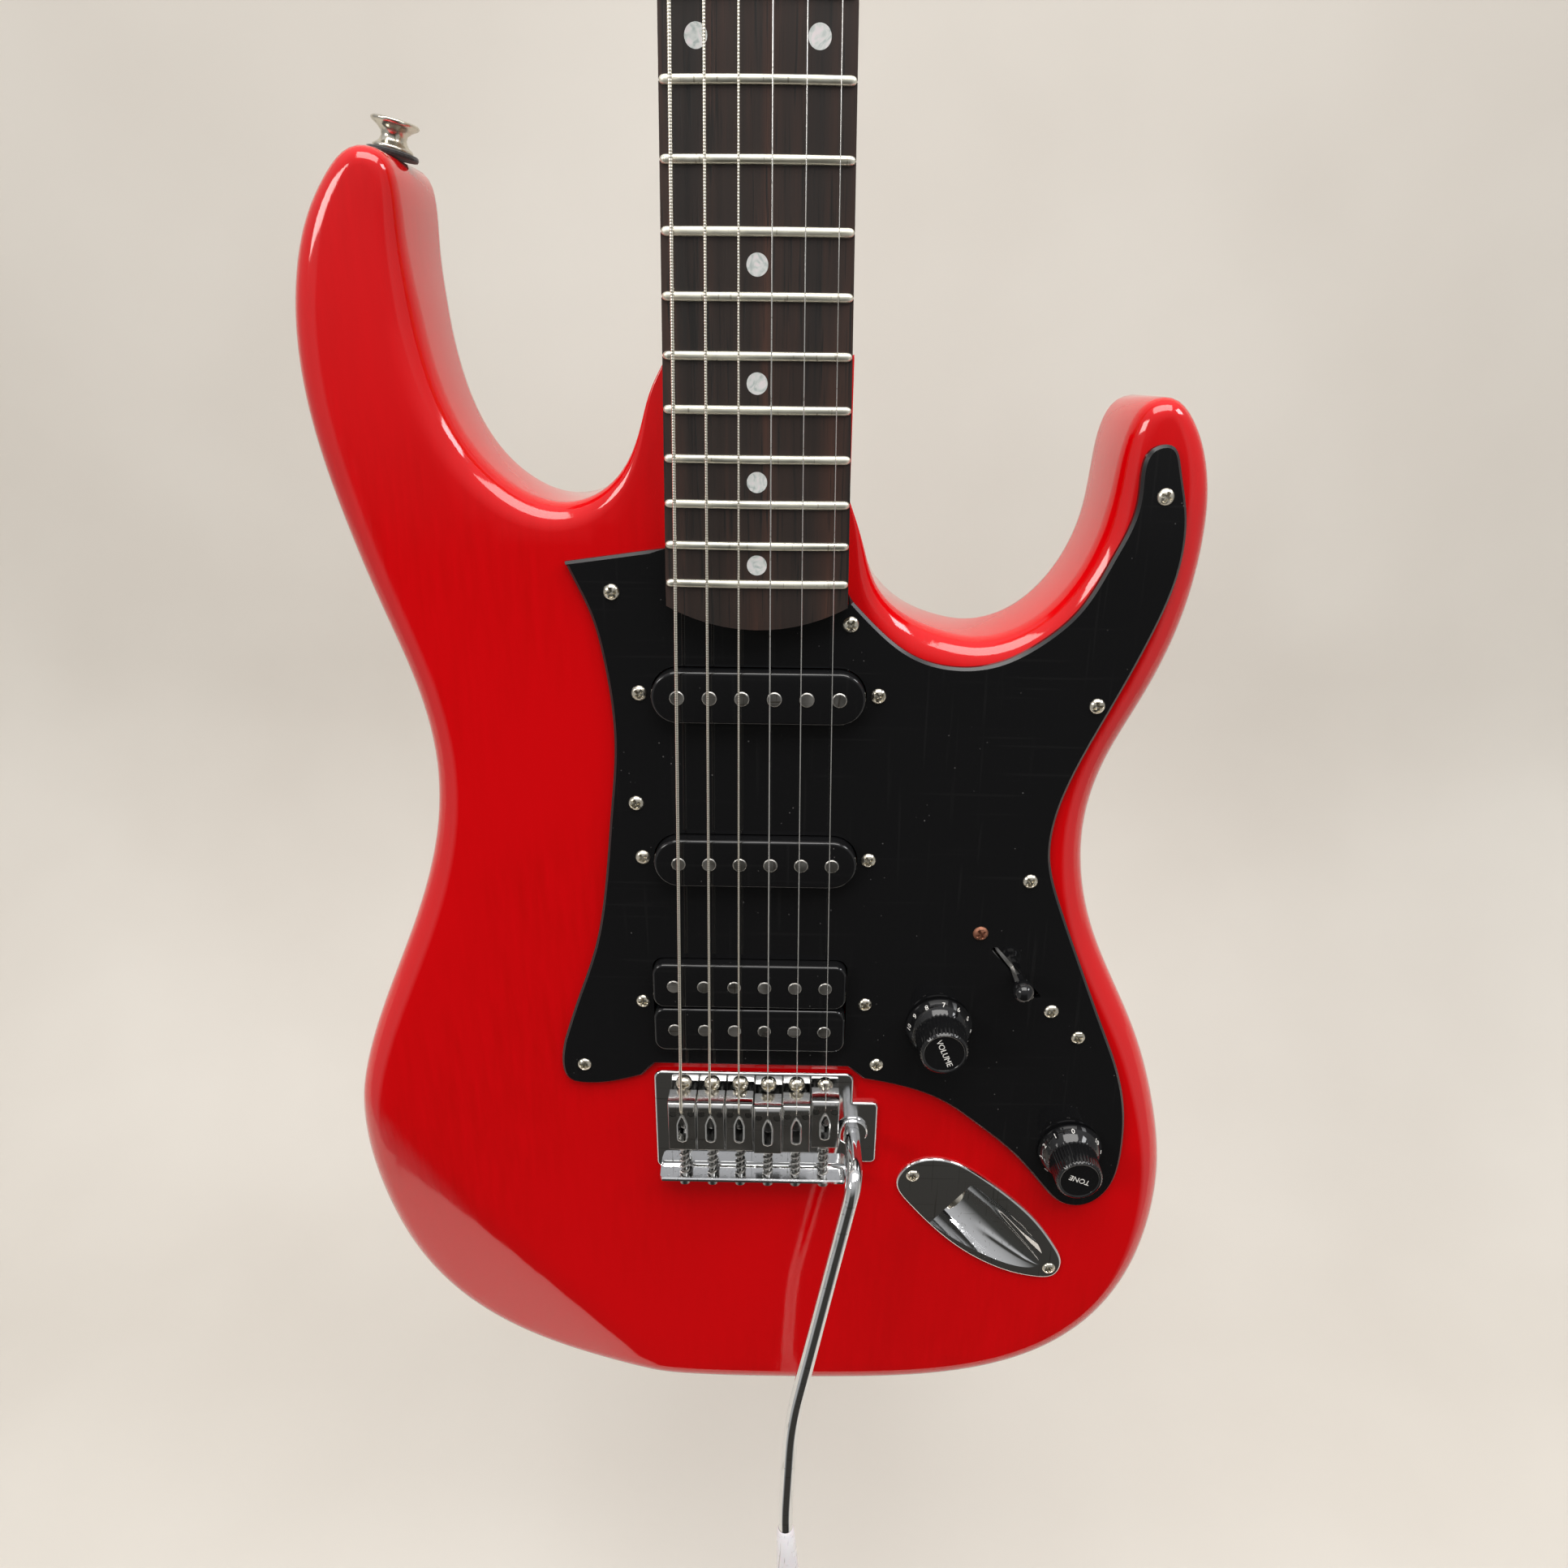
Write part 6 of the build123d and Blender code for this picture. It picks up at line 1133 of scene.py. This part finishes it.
tip_profile = [(-0.5, 2.95), (0, 3.2), (0.5, 3.45), (12, 4.1), (24, 4.65), (29, 4.6), (31, 4.0), (31.8, 2.6),
               (32.0, 1.2), (32.0, 0)]
make("arm_tip_cap", [turned(tip_profile, [tip_end - tip_way * 20], tip_way, SIDE, 32)], WHITE, "arm",
     ["arm_tip"], sharp=50)

# ------------------------------------------------------------------ strings
# Three wound strings and three plain ones. Each comes up through the plate, bends over its saddle, and
# runs over the nut to its post. The windings of the wound ones show as a fine thread along them.
STRING_RADIUS = np.array([0.56, 0.44, 0.33, 0.22, 0.17, 0.14])
NUT_SPREAD, POST_RADIUS, POST_WAIST = 35.4, 3, 30.6
HEAD_POSTS = np.stack([STEPS * NUT_SPREAD - POST_RADIUS - STRING_RADIUS, NUT_Z + 28.5 + 25.4 * np.arange(6)], axis=1)


def string_path(k):
    """Up from the block, round the saddle's ridge, straight to the nut, and down to the post's side."""
    r, x, step = STRING_RADIUS[k], SADDLE_X[k], STEPS[k]
    over = BRIDGE_Z + 2.5 + SADDLE_FORE[k]
    line_x = STRING_SHIFT + step * STRING_SPREAD
    nut_x, post_x, post_z = step * NUT_SPREAD, HEAD_POSTS[k][0] + POST_RADIUS + r, HEAD_POSTS[k][1]
    points = [(x, -8, over - 12.5), (x, 24, over - 12.0), (x, 30.5, over - 8.6), (line_x, 34.6, over - 4.2),
              (line_x, SADDLE_TOP + r - 0.15, over - 2.6), (line_x, SADDLE_TOP + r + 0.1, over - 1.6),
              (nut_x, 32.84 + r, NUT_Z), (nut_x, 32.7 + r, NUT_Z + 2), (post_x, POST_WAIST, post_z)]
    if k > 3:
        points[-1:] = [(post_x, 31.2, NUT_Z + 55), (post_x, POST_WAIST, post_z)]
    return [(px, -h, pz) for px, h, pz in points]


def wound():
    """Nickel wrap on a core: fine rings along the string in its gloss, and a warm tone with painted shade in the
    grooves between the windings and painted highlight on their crowns.
    """
    material, tree, shader = finish("wound_string", (0.9, 0.86, 0.74), 0.34, 1.0)
    where = node(tree, "TexCoord").outputs["Object"]
    rings = node(tree, "TexWave", {"Vector": where, "Scale": 420.0, "Distortion": 0.3},
                 bands_direction="Z").outputs["Fac"]
    # The colour follows the rings: it is darker in their troughs, which is painted shade between the windings, and
    # brighter on their crests, which is painted highlight.
    tone = ramp(tree, rings, [(0.0, (0.62, 0.57, 0.46)), (0.6, (0.97, 0.93, 0.82))])
    bump = node(tree, "Bump", {"Height": rings, "Strength": 0.6, "Distance": 0.00006}).outputs["Normal"]
    tree.links.new(tone, shader.inputs["Base Color"])
    tree.links.new(bump, shader.inputs["Normal"])
    return material


WOUND = wound()
PLAIN = worn("plain_string", (0.88, 0.87, 0.84), (0.6, 0.57, 0.52), 0.2, 1.0, smear=0.1)
for name, material, chosen, slot_name, cad_node in (
    ("wound_set", WOUND, (0, 1, 2), "wound_wire", "strings_wound"),
    ("plain_set", PLAIN, (3, 4, 5), "steel", "strings_plain"),
):
    parts = []
    for k in chosen:
        path = bent_line(string_path(k), [1.5, 1.5, 1.5, 0.6, 0.5, 0.5, 0.5, 2.0], 6)
        parts.append(tube(path, STRING_RADIUS[k], (1, 0, 0.01), 10))
    piece = make(name, parts, material, None, [cad_node], sharp=60)
    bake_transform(piece)

# ------------------------------------------------------------------ tuners
# Six in line, die-cast and chromed: a gear housing under the head, a slotted post through a bushing,
# and an oval key on a worm. Each string winds down its own post. Two trees hold the thin strings low.
for number, (post, r) in enumerate(zip(HEAD_POSTS, STRING_RADIUS), start=1):
    turns, material, slot_name = (3.5, WOUND, "wound_wire") if number < 4 else (5.5, PLAIN, "steel")
    start, end = (post[0], -POST_WAIST, post[1]), (post[0], -POST_WAIST + turns * 2.1 * r, post[1])
    coil = helix([start], [end], POST_RADIUS + r, turns, 20)
    make(f"winding_{number}", [tube(coil, r, (0, 1, 0), 8)], material, f"post_{number}")
    clothe(CHROME, f"tuner_post_{number}", f"tuner_key_{number}")
clothe(CHROME, "tuner_housings", "tuner_bushings", "string_trees", "headstock_screws")

# ------------------------------------------------------------------ back and ends
# A black plastic plate closes the spring cavity, and a chromed one spreads the load of the neck
# screws. Turned buttons for the strap stand on felt washers at the horn and at the tail.
BACK_PLATES = (BACK - 2, BACK - 0.02)
back_opening = box(-34, 32, 137.0, 155.0, 3)
cover = slab(box(-42, 42, 118, 274, 6), *BACK_PLATES, 0.8, 0.0, [back_opening], [back_opening], steps=3)
make("cavity_cover", [*cover, wall(back_opening, *BACK_PLATES, True)], BLACK,
     replaces=["back_cover"], sharp=40)
make("heel_plate", slab(box(-25.5, 25.5, 341, 405, 4), *BACK_PLATES, 0.7, 0.0, steps=4), CHROME,
     replaces=["neck_plate"], sharp=40)
heel_heads = cross_heads(at(NECK_SCREWS, BACK - 2), REAR, 4.0, 1.8, 13, 2.0)
seats = (((-108.2, 465.9), math.radians(77.5)), ((0.0, 0.0), math.radians(-90)))
button = [(0, 0), (0, 5.4), (0.4, 5.7), (0.9, 5.6), (1.4, 4.8), (2.2, 4.0), (3.4, 3.55), (4.6, 3.8), (5.7, 4.9),
          (6.6, 6.4), (7.1, 6.8), (7.5, 6.75), (7.8, 6.4), (7.7, 5.3), (7.1, 3.9), (6.5, 3.7), (6.3, 0)]
felt = [(0, 0), (0, 6.9), (0.2, 7.25), (0.8, 7.4), (1.4, 7.2), (1.6, 6.8), (1.6, 0)]
buttons, felts, button_heads = [], [], []
for seat, turn in seats:
    way = (math.cos(turn), 0.0, math.sin(turn))
    foot = np.array([seat[0], 0.0, seat[1]])
    felts.append(turned(felt, [foot], way, (0, 1, 0), 40))
    buttons.append(turned(button, [foot + np.array(way) * 1.6], way, (0, 1, 0), 44))
    button_heads.append(cross_heads([foot + np.array(way) * 7.9], way, 3.4, 1.5, 17, 2.0))


def felt_cloth():
    """Black felt: matt, with a loose nap."""
    material, tree, shader = finish("black_felt", (0.012, 0.012, 0.012), 0.95, sheen_weight=0.4)
    where = node(tree, "TexCoord").outputs["Object"]
    nap = node(tree, "TexNoise", {"Vector": where, "Scale": 1400.0, "Detail": 3.0}).outputs["Fac"]
    tone = ramp(tree, nap, [(0.3, (0.006, 0.006, 0.006)), (0.8, (0.03, 0.03, 0.03))])
    tree.links.new(tone, shader.inputs["Base Color"])
    bump = node(tree, "Bump", {"Height": nap, "Strength": 0.8, "Distance": 0.0002}).outputs["Normal"]
    tree.links.new(bump, shader.inputs["Normal"])
    return material


make("button_felts", felts, felt_cloth(), replaces=["strap_washers"])
make("strap_button_pair", buttons, NICKEL, replaces=["strap_buttons"], sharp=50)
make("long_screw_heads", [heel_heads, *button_heads], NICKEL, replaces=["long_screws"], sharp=40)
